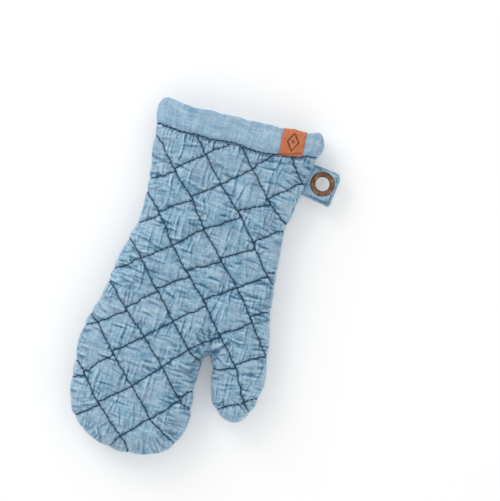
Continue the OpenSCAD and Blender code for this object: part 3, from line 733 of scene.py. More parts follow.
def crinkle(flat, line_gap):
    """The fine unevenness of washed cotton, in mm."""
    folds = noise_at(flat / (2.6, 15.0), 3.1) * 0.12 + noise_at(flat / (12.0, 3.0), 8.7) * 0.12
    grain = noise_at(flat / 1.1, 9.9) * 0.05
    return (folds + grain) * (0.4 + 0.6 * smoothstep((line_gap - 0.6) / 4.0))


class Creases:
    """Short pressed creases: each is a groove with a raised lip beside it, with painted shade in the groove
    and a painted highlight on the lip that is partly also the wear of washed cloth.
    """

    def __init__(self, flat):
        self.flat = flat
        self.relief = np.zeros(len(flat))
        self.shade = np.zeros(len(flat))
        self.tree = point_tree(flat)

    def press(self, at, way, length, width, depth, lip):
        """One crease through a point, along a direction."""
        near = self.tree.find_range((*self.flat[at], 0.0), length * 0.5 + 3 * width)
        index = np.array([i for _, i, _ in near])
        d = self.flat[index] - self.flat[at]
        along = d @ way / (length / 2)
        bend = rng.normal(0, 0.05) * length * (along**2 - 0.3)
        across = (d @ (-way[1], way[0]) - bend) / width
        taper = np.clip(1 - along**2, 0, 1) ** 0.7
        groove, ridge = np.exp(-(across**2)), np.exp(-((across - 1.9) ** 2)) * lip
        self.relief[index] += (ridge - groove) * taper * depth
        # Painted shade in the groove and painted highlight on the lip, partly also wear on the lip.
        self.shade[index] += (ridge * 0.6 - groove) * taper * min(1.0, depth / 0.4)

    def scatter(self, chance, ways, count, length, width, depth, lip=0.5, spread=8.0):
        """Many creases where chance is high; ways gives the direction at each point of the cloth."""
        for at in rng.choice(len(self.flat), count, p=chance / chance.sum()):
            turn = math.radians(rng.normal(0, spread))
            c, s = math.cos(turn), math.sin(turn)
            x, y = ways[at]
            way = np.array((c * x - s * y, s * x + c * y))
            scale = rng.uniform(0.6, 1.3)
            self.press(at, way, rng.uniform(*length), width * rng.uniform(0.8, 1.2), depth * scale, lip)


def creases(flat, plan_xy, away, lines):
    """A panel's creases: their relief in mm, and from -1 to 1 their painted shade and highlight, partly also
    wear.
    """
    gap, across_line = lines.near(plan_xy)
    gap = np.abs(gap)
    _, inward = seam_track.near(plan_xy)
    below_hem = hem_y(plan_xy[:, 0]) - plan_xy[:, 1]
    from_crotch = plan_xy - CROTCH
    crotch_gap = np.linalg.norm(from_crotch, axis=1, keepdims=True)
    near_side = smoothstep((24 - away) / 12)[:, None]
    level = np.array((1.0, -0.06)) * np.sign(inward[:, :1] + 1e-6)
    cross_ways = inward * near_side + level * (1 - near_side)
    cross_ways /= np.linalg.norm(cross_ways, axis=1, keepdims=True)
    long_ways = np.tile((0.02, 1.0), (len(flat), 1))
    upright = np.tile((0.0, 1.0), (len(flat), 1))
    done = Creases(flat)
    even = np.ones(len(flat)) * (away > 1.0)
    done.scatter(even * (gap > 1), long_ways, **LONG_CREASES)
    done.scatter(even * (0.5 + near_side[:, 0]), cross_ways, **CROSS_CREASES)
    done.scatter(even * (gap > 0.8) * (gap < 3.0), across_line, **PUCKERS)
    done.scatter(even * (below_hem > 1) * (below_hem < 6), upright, **HEM_PLEATS)
    radial = from_crotch / np.maximum(crotch_gap, 1e-6)
    done.scatter((away > 1.5) * (crotch_gap[:, 0] < 17), radial, **CROTCH_PLEATS)
    return done.relief, np.clip(done.shade * 0.75, -1.0, 1)


def swollen_panel(start, out, tris, held, gap):
    swollen = cloth(start, tris, held)
    step = swollen - start
    far = np.linalg.norm(step, axis=1, keepdims=True)
    return start + step * np.minimum(1, MOST_SWELL / np.maximum(far, 1e-9))


def quilted_shell(side, xy, tris, lines, material):
    """The outer cloth of one side, in a hand piece and a thumb piece; gives back its inner face."""
    tris = tris if side > 0 else tris[:, ::-1]
    lines = Tracks(lines)
    gap = lines.distance(xy)
    start, out, away = sewn_surface(xy, side, gap)
    held = (away < ON_SEAM) | (xy[:, 1] > panel_top_y(xy[:, 0]) - 0.05) | (gap < 0.03)
    swollen = swollen_panel(start, out, tris, held, gap)
    fine, fine_tris, edges = subdivided(swollen, tris)
    plan_xy = halves(xy, edges)
    gap, away = halves(gap, edges), halves(away, edges)
    flat = flat_cloth(plan_xy, side)
    n = vertex_normals(fine, fine_tris)
    pressed, shade = creases(flat, plan_xy, away, lines)
    relief = crinkle(flat, gap) + pressed * (0.35 + 0.65 * smoothstep((gap - 0.3) / 1.6))
    fine = fine + n * (relief * smoothstep(away / 2.5))[:, None]
    inner = swollen - n[: len(xy)] * SHELL_T
    lining_side = inner.copy()
    if side < 0:
        fine[:, 2] = np.maximum(fine[:, 2], 0.05)
        inner[:, 2] = np.maximum(inner[:, 2], 0.05 + SHELL_T)
    level = side * fine[:, 2]
    # Painted shade in the cloth's hollows and painted highlight on its rises, from its height over its
    # smoothed height.
    hollow = level - smoothed(level, fine_tris, 14)
    # Painted shade right beside the quilting, where the cloth dips into the line's groove.
    shade = shade - LINE_SHADE * np.exp(-((gap / 1.3) ** 2))
    values = {
        "flat": cloth_place(flat, 0.05 * side),
        "crease": np.clip(shade + hollow * 0.5, -1, 1),
    }
    name = f"{side_name(side)}_shell"
    for limb, mine in by_limb(xy, tris):
        mask = np.tile(mine[:, None], 4).ravel()
        piece = closed_sheet(f"{name}_{limb}", fine, inner, tris[mine], fine_tris[mask], edges, **values)
        finished(piece, limb, material, limb_nodes(f"shell_{side_name(side)}", limb))
    return lining_side


# ---------------------------------------------------------------- layers inside the shell


def layer_heights(xy, side, depth):
    """Height of the layer's surface at a depth, never crossing the plane of the seam."""
    surface, _ = body_surface(xy, side, depth)
    return np.maximum(side * (surface[:, 2] - SEAM_Z), 0.0)


def inner_layer(what, side, xy, tris, low, high, material):
    """A closed layer between two heights over the plane of the seam, in a hand and a thumb piece."""
    upper, lower = (np.column_stack([xy, SEAM_Z + side * z]) for z in (high, low))
    faces = tris if side > 0 else tris[:, ::-1]
    flat = cloth_place(flat_cloth(xy, side), 0.02 * side)
    for limb, mine in by_limb(xy, tris):
        piece = closed_sheet(f"{side_name(side)}_{what}_{limb}", upper, lower, faces[mine], flat=flat)
        finished(piece, limb, material, limb_nodes(f"{what}_{side_name(side)}", limb))
        yield piece, xy[tris[mine]]


def batting(side, shell_inner, material):
    """The filling: it reaches up into each pad and is thin under the quilting lines."""
    xy, tris = plan(WALL - 0.6, 4.2, (6.6, 8.8, 11.5), layers_top_y, [])
    tree = point_tree(shell_inner)
    under = side * (shell_inner[:, 2] - SEAM_Z)
    roof = np.array([min(under[i] for _, i, _ in tree.find_n((x, y, 0), 14)) for x, y in xy])
    low = layer_heights(xy, side, WALL - 1.0) + 0.05
    high = np.maximum(np.minimum(roof - 0.4, layer_heights(xy, side, SHELL_T)), low + 0.3)
    for piece, _ in inner_layer("batting", side, xy, tris, low, high, material):
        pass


def lining(side, material):
    """The thin cloth round the hand space, a little slack in places."""
    xy, tris = plan(WALL + 0.4, 3.2, (7.6, 9.2, 11.5), layers_top_y, [])
    low, high = layer_heights(xy, side, WALL) + 0.05, layer_heights(xy, side, WALL - 0.9) + 0.1
    sag = noise_at(xy / 13.0, 4.0) * 0.35 + noise_at(xy / (3.0, 12.0), 6.0) * 0.2
    low = np.maximum(low - np.abs(sag) * smoothstep((low - 0.4) / 4), 0.05)
    for piece, cells in inner_layer("lining", side, xy, tris, low, high, material):
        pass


# ---------------------------------------------------------------- sewing threads


def stitches(line, up, pitch, length, dip=0.5, lift=0.35, sway=0.22):
    """Paths of the stitches along a line: each comes up, lies on the cloth and goes down again."""
    s = lengths(line)
    count = max(1, round(s[-1] / pitch))
    high = np.array((-dip, lift * 0.7, lift, lift, lift * 0.7, -dip))
    paths = []
    for k in range(count):
        t = s[-1] / count * k + min(length, s[-1] / count) * STITCH_ALONG
        p, n = at_lengths(line, s, t), at_lengths(up, s, t)
        across = np.cross(p[-1] - p[0], n[2])
        across /= np.linalg.norm(across)
        lean = sway * (1 if k % 2 else -1) + rng.normal(0, 0.12)
        paths.append(p + n * high[:, None] + across * (lean * STITCH_ACROSS)[:, None])
    return paths


def upward(line, side=1):
    """The same way up or down at each point of a line."""
    return np.tile((0.0, 0.0, float(side)), (len(line), 1))


def sewn_runs(line):
    """The parts of a line that are sewn: not on the seam itself, and not under the band."""
    line = resample(line, 0.8)
    return kept_runs(line, (seam_depth(line) > 0.9) & (line[:, 1] < hem_y(line[:, 0]) - 0.6))


def kept_runs(line, keep):
    """The unbroken parts of a line where keep is true, leaving out very short ones."""
    cuts = np.flatnonzero(np.diff(keep.astype(int))) + 1
    parts = zip(np.split(line, cuts), np.split(keep, cuts))
    return [run for run, kept in parts if kept[0] and len(run) > 3]


def limb_threads(name, paths, radius, material, prefix, part=0.5):
    """Stitches as a hand piece and a thumb piece, by where each one is at a part of its way along."""
    thumb = [bool(on_thumb(path[None, int(len(path) * part), :2])[0]) for path in paths]
    for limb in LIMB_PARTS:
        mine = [path for path, far in zip(paths, thumb) if far == (limb == "thumb")]
        finished(tubes(f"{name}_{limb}", mine, radius), limb, material, limb_nodes(prefix, limb))


def quilting(side, lines, jogs, material):
    """The quilting threads of one side."""
    paths = []
    for run in (run for line in lines for run in sewn_runs(line)):
        on_cloth, up, _ = sewn_surface(run, side, np.zeros(len(run)))
        paths += stitches(on_cloth, up, STITCH_PITCH, STITCH_PITCH - 0.35)
    for run in (run for line in jogs for run in sewn_runs(line)):
        beside = run + left_normals(run) * rng.choice((-0.55, 0.55))
        on_cloth, up, _ = sewn_surface(beside, side, np.zeros(len(run)))
        high = 0.55 * np.sin(np.linspace(0, math.pi, len(run)))
        paths.append(on_cloth + up * (high - 0.1)[:, None])
    name = side_name(side)
    limb_threads(f"{name}_quilting", paths, THREAD_R, material, f"quilting_{name}")


def seam_thread(material):
    """The overlocked thread inside the side seam."""
    keep = seam_line[:, 1] < layers_top_y(seam_line[:, 0]) - 12
    line = resample((seam_line + seam_inward * (WALL + 1.0))[keep], 1.0)
    line = line[seam_depth(line) > WALL + 0.6]
    line = np.column_stack([line, np.full(len(line), SEAM_Z)])
    paths = stitches(line, upward(line), 3.6, 3.3, dip=0.3, lift=0.25, sway=0.15)
    paths = [path for path in paths if np.linalg.norm(np.diff(path, axis=0), axis=1).max() < 2.5]
    limb_threads("inner_seam", paths, FINE_THREAD_R, material, "seam_thread", part=0.4)


# ---------------------------------------------------------------- cuff band and leather label


def seam_x(y, left):
    """Where the side seam is at a height near the mouth."""
    half = seam_line[: len(seam_line) // 4] if left else seam_line[-len(seam_line) // 4 :]
    half = half[np.argsort(half[:, 1])]
    return np.interp(y, half[:, 1], half[:, 0])


def band_points(u, f, depth, side):
    """Points of the cuff: u across the mouth, f from the hem (0) to the lip (1), depth under the shell."""
    narrow = HEM_NARROW * (1 - smoothstep(f / 0.5))
    y = HEM[0][1] + f * BAND_HEIGHT
    for _ in range(3):
        left = seam_x(y, True) + depth + narrow
        right = seam_x(y, False) - depth - narrow
        x = left + u * (right - left)
        low = hem_y(x) - HEM_MARGIN
        y = low + f * (mouth_y(x) - low)
    away = seam_depth(np.column_stack([x, y])) - narrow
    z = height(y, away, side, depth) * smoothstep(np.minimum(u, 1 - u) / 0.004)
    return np.column_stack([x, y, SEAM_Z + side * z])


def along_cuff(u, f, mm):
    """The place across the mouth counted in lengths of mm, with a second coordinate for noise."""
    return np.column_stack([u * CUFF_WIDTH / mm, f])


def band_ripple(u, f, side):
    """The band's soft waves, in mm: strongest in the middle of its width, none at its ends."""
    place = along_cuff(u, f * 0.8, 9.0)
    wave = noise_at(place, 2.0 + side) * 0.75 + noise_at(place * (2.6, 2.0), 5.0 + side) * 0.3
    return wave * smoothstep(np.minimum(u, 1 - u) / 0.06)


def cuff_points(u, f, depth, side):
    """The same points on the sewn and washed cuff: waved, and drawn down at its hem."""
    tuck = HEM_TUCK * np.exp(-((f / 0.13) ** 2)) * smoothstep((3.0 - depth) / 3.0)
    ends = smoothstep(np.minimum(u, 1 - u) / 0.03)
    dz = side * (band_ripple(u, f, side) * smoothstep(f / 0.25) - tuck) * ends
    dy = noise_at(along_cuff(u, f * 0, 9.0), 7.0) * 0.9 * smoothstep((f - 0.5) / 0.5)
    dy = dy + noise_at(along_cuff(u, f * 0, 3.0), 9.0) * 0.3
    return band_points(u, f, depth, side) + np.column_stack([f * 0, dy, dz])


def fold_section(f_out, f_in, depth_out, depth_in, thickness, steps, lip=0.12, reach=0.0):
    """The outer and the inner skin of a strip folded over the lip, each as its rows of f and of depth."""
    mid, half = (depth_out + depth_in) / 2, (depth_in - depth_out) / 2
    turn = np.linspace(0, math.pi, 13)[1:-1]
    down, back = np.linspace(f_out, 1 - lip, steps), np.linspace(1 - lip, f_in, steps * 2 // 3)
    skins = []
    for grow in (thickness / 2, -thickness / 2):
        top = 1 - lip + (lip + reach + grow / FOLD_HEIGHT) * np.sin(turn)
        over = mid - (half + grow) * np.cos(turn)
        outer, inner = np.full(len(down), depth_out - grow), np.full(len(back), depth_in + grow)
        skins.append((np.concatenate([down, top, back]), np.concatenate([outer, over, inner])))
    return skins


def strip_grid(us, section):
    """The u, f and depth of all the points of a folded strip, those of its outer skin first."""
    u = [np.repeat(us, len(f)) for f, _ in section]
    f = [np.tile(f, len(us)) for f, _ in section]
    depth = [np.tile(d, len(us)) for _, d in section]
    return np.concatenate(u), np.concatenate(f), np.concatenate(depth)


def folded_strip(name, us, section, side, verts, **values):
    """A closed strip of cloth or leather folded over the lip, from its points in strip_grid's order."""
    rows, cols = len(section[0][0]), len(us)
    flats = []
    for k, (f, depth) in enumerate(section):
        along = np.tile(lengths(np.column_stack([f * FOLD_HEIGHT, depth])), cols)
        flats.append(cloth_place(np.column_stack([np.repeat(us, rows) * CUFF_WIDTH, along]), 0.01 * k))
    inner = rows * cols
    loop = [*range(rows), *(inner + j for j in reversed(range(rows)))]
    faces = []
    for a in range(0, inner - rows, rows):
        faces += [(a + rows + j, a + rows + k, a + k, a + j) for j, k in zip(loop, loop[1:] + loop[:1])]
    last = inner - rows
    faces += [(j, j + 1, j + 1 + inner, j + inner) for j in range(rows - 1)]
    faces += [(j + inner, j + 1 + inner, j + 1, j) for j in range(last, last + rows - 1)]
    if side < 0:
        faces = [f[::-1] for f in faces]
    return new_object(name, verts, faces, flat=np.vstack(flats), **values)


def cuff_band(side, material):
    """The plain band folded over the mouth, with a wavy lip and its lower edge sewn down."""
    name = side_name(side)
    section = fold_section(0.0, 0.0, BAND_OUT, BAND_IN, BAND_T, 22)
    t = np.linspace(-1, 1, 150)
    us = 0.5 + 0.5 * np.sign(t) * (1 - (1 - np.abs(t)) ** 1.7)
    u, f, depth = strip_grid(us, section)
    verts = cuff_points(u, f, depth, side)
    if side < 0:
        verts[:, 2] = np.maximum(verts[:, 2], 0.1)
    # Painted highlight on the ripples' crests, and painted shade in their troughs and in the tuck at the hem.
    crease = np.clip(band_ripple(u, f, side) * 0.55 - 0.5 * np.exp(-f / 0.12), -1, 1)
    piece = folded_strip(f"{name}_band", us, section, side, verts, crease=crease)
    finished(piece, "palm", material, [f"cuff_band_{name}"])


def hem_stitching(side, material):
    """Two close threads along the band's lower edge."""
    name = side_name(side)
    paths = []
    for f0, seed in ((0.02, 1.0), (0.045, 2.0)):
        u = np.linspace(0.008, 0.992, 500)
        f = f0 + noise_at(np.column_stack([u * 11, u * 0]), seed) * 0.03
        line = cuff_points(u, f, np.full(len(u), BAND_OUT - BAND_T / 2), side)
        paths += stitches(line, upward(line, side), 4.4, 4.15, sway=0.25)
    piece = tubes(f"{name}_hem_stitches", paths, THREAD_R * 0.66)
    finished(piece, "palm", material, [f"hem_stitching_{name}"])


def label_u(x):
    """Where x is across the band, as u, at the label's height."""
    return (x - BAND_LEFT) / BAND_SPAN


def label_mark(x, y):
    """From 0 to 1, where the plain lozenge and its dot are pressed in the leather."""
    x, y = x - LABEL_WIDTH / 2, y - MARK_MIDDLE
    lozenge = np.abs(np.abs(x) / MARK_HALF[0] + np.abs(y) / MARK_HALF[1] - 1)
    return np.maximum(np.exp(-((lozenge / 0.15) ** 4)), np.exp(-((x**2 + y**2) / 1.6)))


def leather_label(material):
    """A leather label folded over the front lip and pressed with a plain lozenge."""
    us = np.linspace(label_u(LABEL_LEFT), label_u(LABEL_LEFT + LABEL_WIDTH), 64)
    depths = BAND_OUT - LABEL_LIFT, BAND_IN + LABEL_LIFT + 0.5
    section = fold_section(LABEL_FROM, LABEL_INSIDE, *depths, LABEL_T, 56, lip=0.14, reach=0.035)
    u, f, depth = strip_grid(us, section)
    x, y = (u - us[0]) / (us[-1] - us[0]) * LABEL_WIDTH, (f - LABEL_FROM) * BAND_HEIGHT
    mark = label_mark(x, y) * ((depth < 0) & (f < 0.9))
    side_gap = np.minimum(x, LABEL_WIDTH - x)
    lift = -0.4 * np.exp(-((side_gap / 0.7) ** 2)) - 0.25 * np.exp(-((y / 0.7) ** 2)) - 0.3 * mark
    lift += noise_at(np.column_stack([x / 1.1, y / 1.1]), 3.0) * 0.05
    outward = np.where(depth < LABEL_MIDDLE, 1, -1)
    outer_skin = np.repeat((1, 0), len(u) // 2)
    verts = cuff_points(u, f, depth, 1)
    verts[:, 2] += lift * outward * outer_skin
    verts[:, 0] = LABEL_LEFT + x + LABEL_LEAN * (1 - f) * outward
    verts[:, 0] += noise_at(np.column_stack([f * 5, x * 0]), 6.0) * 0.2
    edge = np.exp(-((np.minimum(side_gap, np.abs(y) + 0.1) / 0.6) ** 2))
    label = folded_strip("leather_tag", us, section, 1, verts, mark=mark, edge=edge)
    finished(label, "palm", material, ["leather_label"])


def label_stitching(thread):
    """The row of stitches across the label's lower edge."""
    t = np.linspace(0.03, 0.97, 60)
    u, f = label_u(LABEL_LEFT + LABEL_WIDTH * t), LABEL_FROM + 0.03 + 0.1 * t
    line = cuff_points(u, f, t * 0 + BAND_OUT - LABEL_LIFT - LABEL_T / 2, 1)
    line[:, 0] = LABEL_LEFT + LABEL_WIDTH * t + LABEL_LEAN * (1 - f)
    row = tubes("tag_stitches", stitches(line, upward(line), 3.4, 2.8, sway=0.1), 0.28)
    finished(row, "palm", thread, ["label_stitching"])


# ---------------------------------------------------------------- hanging tab


class Tab:
    """Where the tab is: the ends of its root, the directions along and out of it, and its eyelet."""

    low, high = TAB_ROOT
    along = (high - low) / np.linalg.norm(high - low)
    out = np.array((along[1], -along[0]))
    eye = sum(box_mm("eyelet"))[:2] / 2


def off_eyelet(xy):
    """0 where the eyelet presses the tab flat, rising to 1 a little way off."""
    return smoothstep((np.linalg.norm(xy - Tab.eye, axis=1) - EYELET_PRESS_R) / 4)


def tab_wave(xy):
    """How far the tab's middle plane is bent up or down, in mm: flat at its root and round the eyelet."""
    return noise_at(xy / 16.0, 6.0) * 0.6 * off_eyelet(xy) * smoothstep(((xy - Tab.low) @ Tab.out) / 8)


def tab_plan():
    """Triangles of the tab's plan, with its round hole, and the distance of each point from its edge."""
    sewn_in = Tab.out * TAB_SEWN_IN
    corners = [Tab.low - sewn_in, Tab.low, *(Tab.low + TAB_LOW_END)]
    corners += [*(Tab.high + TAB_HIGH_END), Tab.high, Tab.high - sewn_in]
    loop = resample([*corners, corners[0]], 0.9)[:-1]
    loop = loop + np.column_stack([noise_at(loop / 5.0, 1.0), noise_at(loop / 5.0, 2.0)]) * 0.35
    turn = np.linspace(0, 2 * math.pi, 64, endpoint=False)
    hole = Tab.eye + TAB_HOLE_R * np.column_stack([np.cos(turn), np.sin(turn)])
    lo, hi = loop.min(0), loop.max(0)
    rows = enumerate(np.arange(lo[1], hi[1], 0.95))
    cells = np.array([(x + 0.55 * (j % 2), y) for j, y in rows for x in np.arange(lo[0], hi[0], 1.1)])
    rim = Tracks([np.vstack([loop, loop[:1]])])
    cells = cells[inside(cells, loop)]
    cells = cells[rim.distance(cells) > 0.5]
    cells = cells[np.linalg.norm(cells - Tab.eye, axis=1) > TAB_HOLE_R + 0.6]
    a, b = len(loop), len(hole)
    edges = [(i, (i + 1) % a) for i in range(a)] + [(a + i, a + (i + 1) % b) for i in range(b)]
    xy, tris = triangulated([*loop, *hole, *cells], edges, a)
    tris = tris[np.linalg.norm(xy[tris].mean(1) - Tab.eye, axis=1) > TAB_HOLE_R - 0.02]
    return xy, tris, rim.distance(xy)


def hanging_tab(material):
    """A doubled tab of the shell's cloth with turned edges, and a hole for the eyelet."""
    xy, tris, from_edge = tab_plan()
    free = off_eyelet(xy)
    round_edge = np.sqrt(np.clip(1 - (1 - np.clip(from_edge / 0.9, 0, 1)) ** 2, 0, 1))
    turned_edge = 0.22 * (1 - smoothstep((from_edge - 3.4) / 0.8)) * free
    dent = 0.28 * np.exp(-(((from_edge - TAB_STITCH_IN) / 0.7) ** 2)) * free
    wrinkle = (noise_at(xy / (9.0, 3.5), 4.0) * 0.22 + noise_at(xy / 2.2, 5.0) * 0.10) * free
    half = np.minimum((TAB_T / 2 - 0.08 + turned_edge - dent) * round_edge, TAB_T / 2 + 0.2)
    wave = tab_wave(xy)
    upper = np.column_stack([xy, SEAM_Z + half + wave + wrinkle * round_edge])
    lower = np.column_stack([xy, SEAM_Z - half + wave + wrinkle * round_edge * 0.6])
    # Painted highlight where the wrinkles rise, and painted shade in the dent of the stitch line.
    crease = np.clip(wrinkle * 2 - dent * 2, -1, 1)
    piece = closed_sheet("loop_tab", upper, lower, tris, flat=cloth_place(xy, 0.3), crease=crease)
    finished(piece, "tab", material, ["hanging_tab"])


def tab_stitching(thread):
    """Stitches round the tab's three free sides, on both faces, broken at the eyelet."""
    first = Tab.low + Tab.out * 2 + Tab.along * TAB_STITCH_IN
    last = Tab.high + Tab.out * 2 - Tab.along * TAB_STITCH_IN
    turns = [first, *(Tab.low + TAB_STITCH_TURNS), last]
    paths = []
    for start, end in zip(turns[:-1], turns[1:]):
        line = resample([start, end], 0.7)
        for run in kept_runs(line, np.linalg.norm(line - Tab.eye, axis=1) > EYELET_CLEAR):
            for face in (1, -1):
                level = SEAM_Z + face * (TAB_T / 2 - 0.30) + tab_wave(run)
                run_3d = np.column_stack([run, level])
                paths += stitches(run_3d, upward(run, face), 3.2, 2.6, sway=0.08, dip=0.35, lift=0.3)
    rows = tubes("loop_tab_stitches", paths, FINE_THREAD_R)
    finished(rows, "tab", thread, ["tab_stitching"])


def eyelet(material):
    """The metal of the CAD's own eyelet and washer."""
    for node in ("eyelet", "eyelet_washer"):
        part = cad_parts[node]
        part.data.materials.clear()
        part.data.materials.append(material)


# ---------------------------------------------------------------- materials


class Shader:
    """A Principled material, and short ways to add nodes to it."""

    def __init__(self, name, roughness, **uniform):
        self.material = bpy.data.materials.new(name)
        self.material.use_nodes = True
        self.tree = self.material.node_tree
        self.main = self.tree.nodes["Principled BSDF"]
        self.main.inputs["Roughness"].default_value = roughness
        for key, value in uniform.items():
            self.main.inputs[key.replace("_", " ")].default_value = value

    def add(self, kind, settings=(), **inputs):
        node = self.tree.nodes.new(kind)
        for key, value in dict(settings).items():
            setattr(node, key, value)
        for key, value in inputs.items():
            socket = node.inputs[int(key[1:])] if key[0] == "i" and key[1:].isdigit() else node.inputs[key]
            if isinstance(value, bpy.types.NodeSocket):
                self.tree.links.new(value, socket)
            else:
                socket.default_value = value
        return node

    def attribute(self, name, output="Fac"):
        return self.add("ShaderNodeAttribute", {"attribute_name": name}).outputs[output]

    def place(self):
        return self.add("ShaderNodeTexCoord").outputs["Object"]

    def maths(self, operation, *values):
        inputs = {f"i{k}": v for k, v in enumerate(values)}
        return self.add("ShaderNodeMath", {"operation": operation}, **inputs).outputs[0]

    def scaled(self, vector, scale):
        inputs = {"i0": vector, "i1": scale}
        return self.add("ShaderNodeVectorMath", {"operation": "MULTIPLY"}, **inputs).outputs[0]

    def noise(self, vector, scale, detail=2.0, rough=0.5):
        """Noise with features of 1/scale metres; scale may be a tuple, one number for each axis."""
        if isinstance(scale, tuple):
            vector, scale = self.scaled(vector, scale), 1.0
        inputs = {"Vector": vector, "Scale": scale, "Detail": detail, "Roughness": rough}
        return self.add("ShaderNodeTexNoise", **inputs).outputs[0]

    def ramp(self, value, stops):
        node = self.add("ShaderNodeValToRGB", Fac=value)
        steps = node.color_ramp.elements
        while len(steps) < len(stops):
            steps.new(0.5)
        for step, (place, colour) in zip(steps, stops):
            step.position = place
            step.color = (*colour, 1) if isinstance(colour, tuple) else (colour,) * 3 + (1,)
        return node.outputs[0]

    def mix(self, share, a, b, blend="MIX"):
        node = self.add("ShaderNodeMix", {"data_type": "RGBA", "blend_type": blend})
        for socket, value in ((node.inputs[0], share), (node.inputs[6], a), (node.inputs[7], b)):
            if isinstance(value, bpy.types.NodeSocket):
                self.tree.links.new(value, socket)
            else:
                socket.default_value = value if socket == node.inputs[0] else (*value, 1)
        return node.outputs[2]

    def finish(self, colour, height, depth_mm, roughness=None, strength=1.0):
        bump = self.add("ShaderNodeBump", Height=height, Distance=depth_mm * MM, Strength=strength)
        self.tree.links.new(bump.outputs[0], self.main.inputs["Normal"])
        self.tree.links.new(colour, self.main.inputs["Base Color"])
        if roughness is not None:
            self.tree.links.new(roughness, self.main.inputs["Roughness"])
        return self.material


def rgb(hexa):
    """A display colour such as 9ab8d2 as linear light."""
    values = [int(hexa[k : k + 2], 16) / 255 for k in (0, 2, 4)]
    return tuple(v / 12.92 if v < 0.04045 else ((v + 0.055) / 1.055) ** 2.4 for v in values)


def weave_height(s, flat):
    """Crossing threads of plain weave, from 0 to 1."""
    per_metre = math.pi / WEAVE_MM / MM
    parts = s.add("ShaderNodeSeparateXYZ", Vector=s.scaled(flat, (per_metre, per_metre, 0.0)))
    sines = [s.maths("SINE", parts.outputs[k]) for k in (0, 1)]
    waves = [s.maths("ABSOLUTE", sine) for sine in sines]
    over = s.maths("GREATER_THAN", s.maths("MULTIPLY", *sines), 0.0)
    mixed = s.add("ShaderNodeMix", {"data_type": "FLOAT"})
    for socket, value in ((mixed.inputs[0], over), (mixed.inputs[2], waves[0]), (mixed.inputs[3], waves[1])):
        s.tree.links.new(value, socket)
    return mixed.outputs[0]


COTTON_GRAIN = (  # features per metre; detail; roughness; share of the colour
    ((1050.0, 90.0, 0.0), 3.0, 0.65, 0.85),  # slubs along the warp
    ((80.0, 1000.0, 0.0), 3.0, 0.65, 0.85),  # and along the weft
    ((560.0, 560.0, 40.0), 2.0, 0.70, 0.75),  # flecks
    ((330.0, 26.0, 40.0), 3.0, 0.55, 0.55),  # long streaks
    ((42.0, 280.0, 40.0), 3.0, 0.55, 0.85),  # cross streaks
    ((90.0, 90.0, 30.0), 2.0, 0.50, 0.50),  # clouds
)


def cotton(name, dark, middle, light, faded, crease_share, wash=1.0):
    """Washed woven cotton: slubs, light flecks, lighter ridges and darker creases that are painted highlight
    and painted shade and partly wear, and a plain weave.
    """
    s = Shader(name, 0.88, Sheen_Weight=0.12, Sheen_Roughness=0.5, Specular_IOR_Level=0.25)
    flat = s.attribute("flat", "Vector")
    # Painted shade and highlight from the creases, hollows and quilting, partly also wear, shift the colour
    # here.
    value = s.maths("MULTIPLY_ADD", s.attribute("crease"), crease_share, 0.5)
    grain = [s.noise(flat, scale, detail, rough) for scale, detail, rough, _ in COTTON_GRAIN]
    for source, (*_, share) in zip(grain, COTTON_GRAIN):
        part = s.maths("MULTIPLY", s.maths("SUBTRACT", source, 0.5), share * wash)
        value = s.maths("ADD", value, part)
    colour = s.ramp(value, [(0.06, rgb(dark)), (0.5, rgb(middle)), (0.94, rgb(light))])
    patches = s.noise(flat, (50.0, 80.0, 30.0), 3.0, 0.6)
    colour = s.mix(s.ramp(patches, [(0.42, 0.0), (0.68, 0.5)]), colour, rgb(faded))
    slubs = s.maths("MULTIPLY", s.maths("ADD", grain[0], grain[1]), 0.8)
    return s.finish(colour, s.maths("ADD", weave_height(s, flat), slubs), 0.16, strength=0.55)


def batting_fibre():
    s = Shader("batting_fibre", 0.95, Sheen_Weight=0.3)
    flat = s.attribute("flat", "Vector")
    strands = s.noise(flat, (900.0, 240.0, 300.0), 5.0, 0.7)
    colour = s.ramp(strands, [(0.3, rgb("cfcabd")), (0.7, rgb("f2efe6"))])
    return s.finish(colour, strands, 0.5)


def sewing_thread():
    """Dark twisted cotton thread; twist is the distance along a stitch and the angle round it."""
    s = Shader("navy_thread", 0.7, Sheen_Weight=0.15, Specular_IOR_Level=0.3)
    parts = s.add("ShaderNodeSeparateXYZ", Vector=s.attribute("twist", "Vector"))
    turn = s.maths("ADD", s.maths("MULTIPLY", parts.outputs[0], 5.2), parts.outputs[1])
    ply = s.maths("ABSOLUTE", s.maths("SINE", turn))
    fuzz = s.noise(s.place(), 900.0, 3.0)
    value = s.maths("ADD", s.maths("MULTIPLY", ply, 0.6), s.maths("MULTIPLY", fuzz, 0.5))
    colour = s.ramp(value, [(0.1, rgb("0c2137")), (0.6, rgb("173652")), (1.0, rgb("2d5677"))])
    return s.finish(colour, ply, 0.12)


def tan_leather():
    s = Shader("tan_leather", 0.5, Specular_IOR_Level=0.4)
    place = s.place()
    grain = s.add("ShaderNodeTexVoronoi", {"feature": "SMOOTH_F1"}, Vector=place, Scale=1400.0).outputs[0]
    clouds = s.noise(place, 160.0, 4.0, 0.6)
    fine = s.noise(place, 1800.0, 3.0, 0.6)
    value = s.maths("ADD", s.maths("MULTIPLY", clouds, 0.75), s.maths("MULTIPLY", grain, 0.25))
    colour = s.ramp(value, [(0.25, rgb("b5623c")), (0.5, rgb("cd774c")), (0.75, rgb("dc9066"))])
    colour = s.mix(s.maths("MULTIPLY", s.attribute("edge"), 0.55), colour, rgb("8a4023"))
    colour = s.mix(s.maths("MULTIPLY", s.attribute("mark"), 0.92), colour, rgb("3a1c12"))
    height = s.maths("ADD", s.maths("MULTIPLY", grain, -1.0), s.maths("MULTIPLY", fine, 0.5))
    rough = s.ramp(fine, [(0.2, 0.42), (0.8, 0.62)])
    return s.finish(colour, height, 0.12, rough, 0.6)


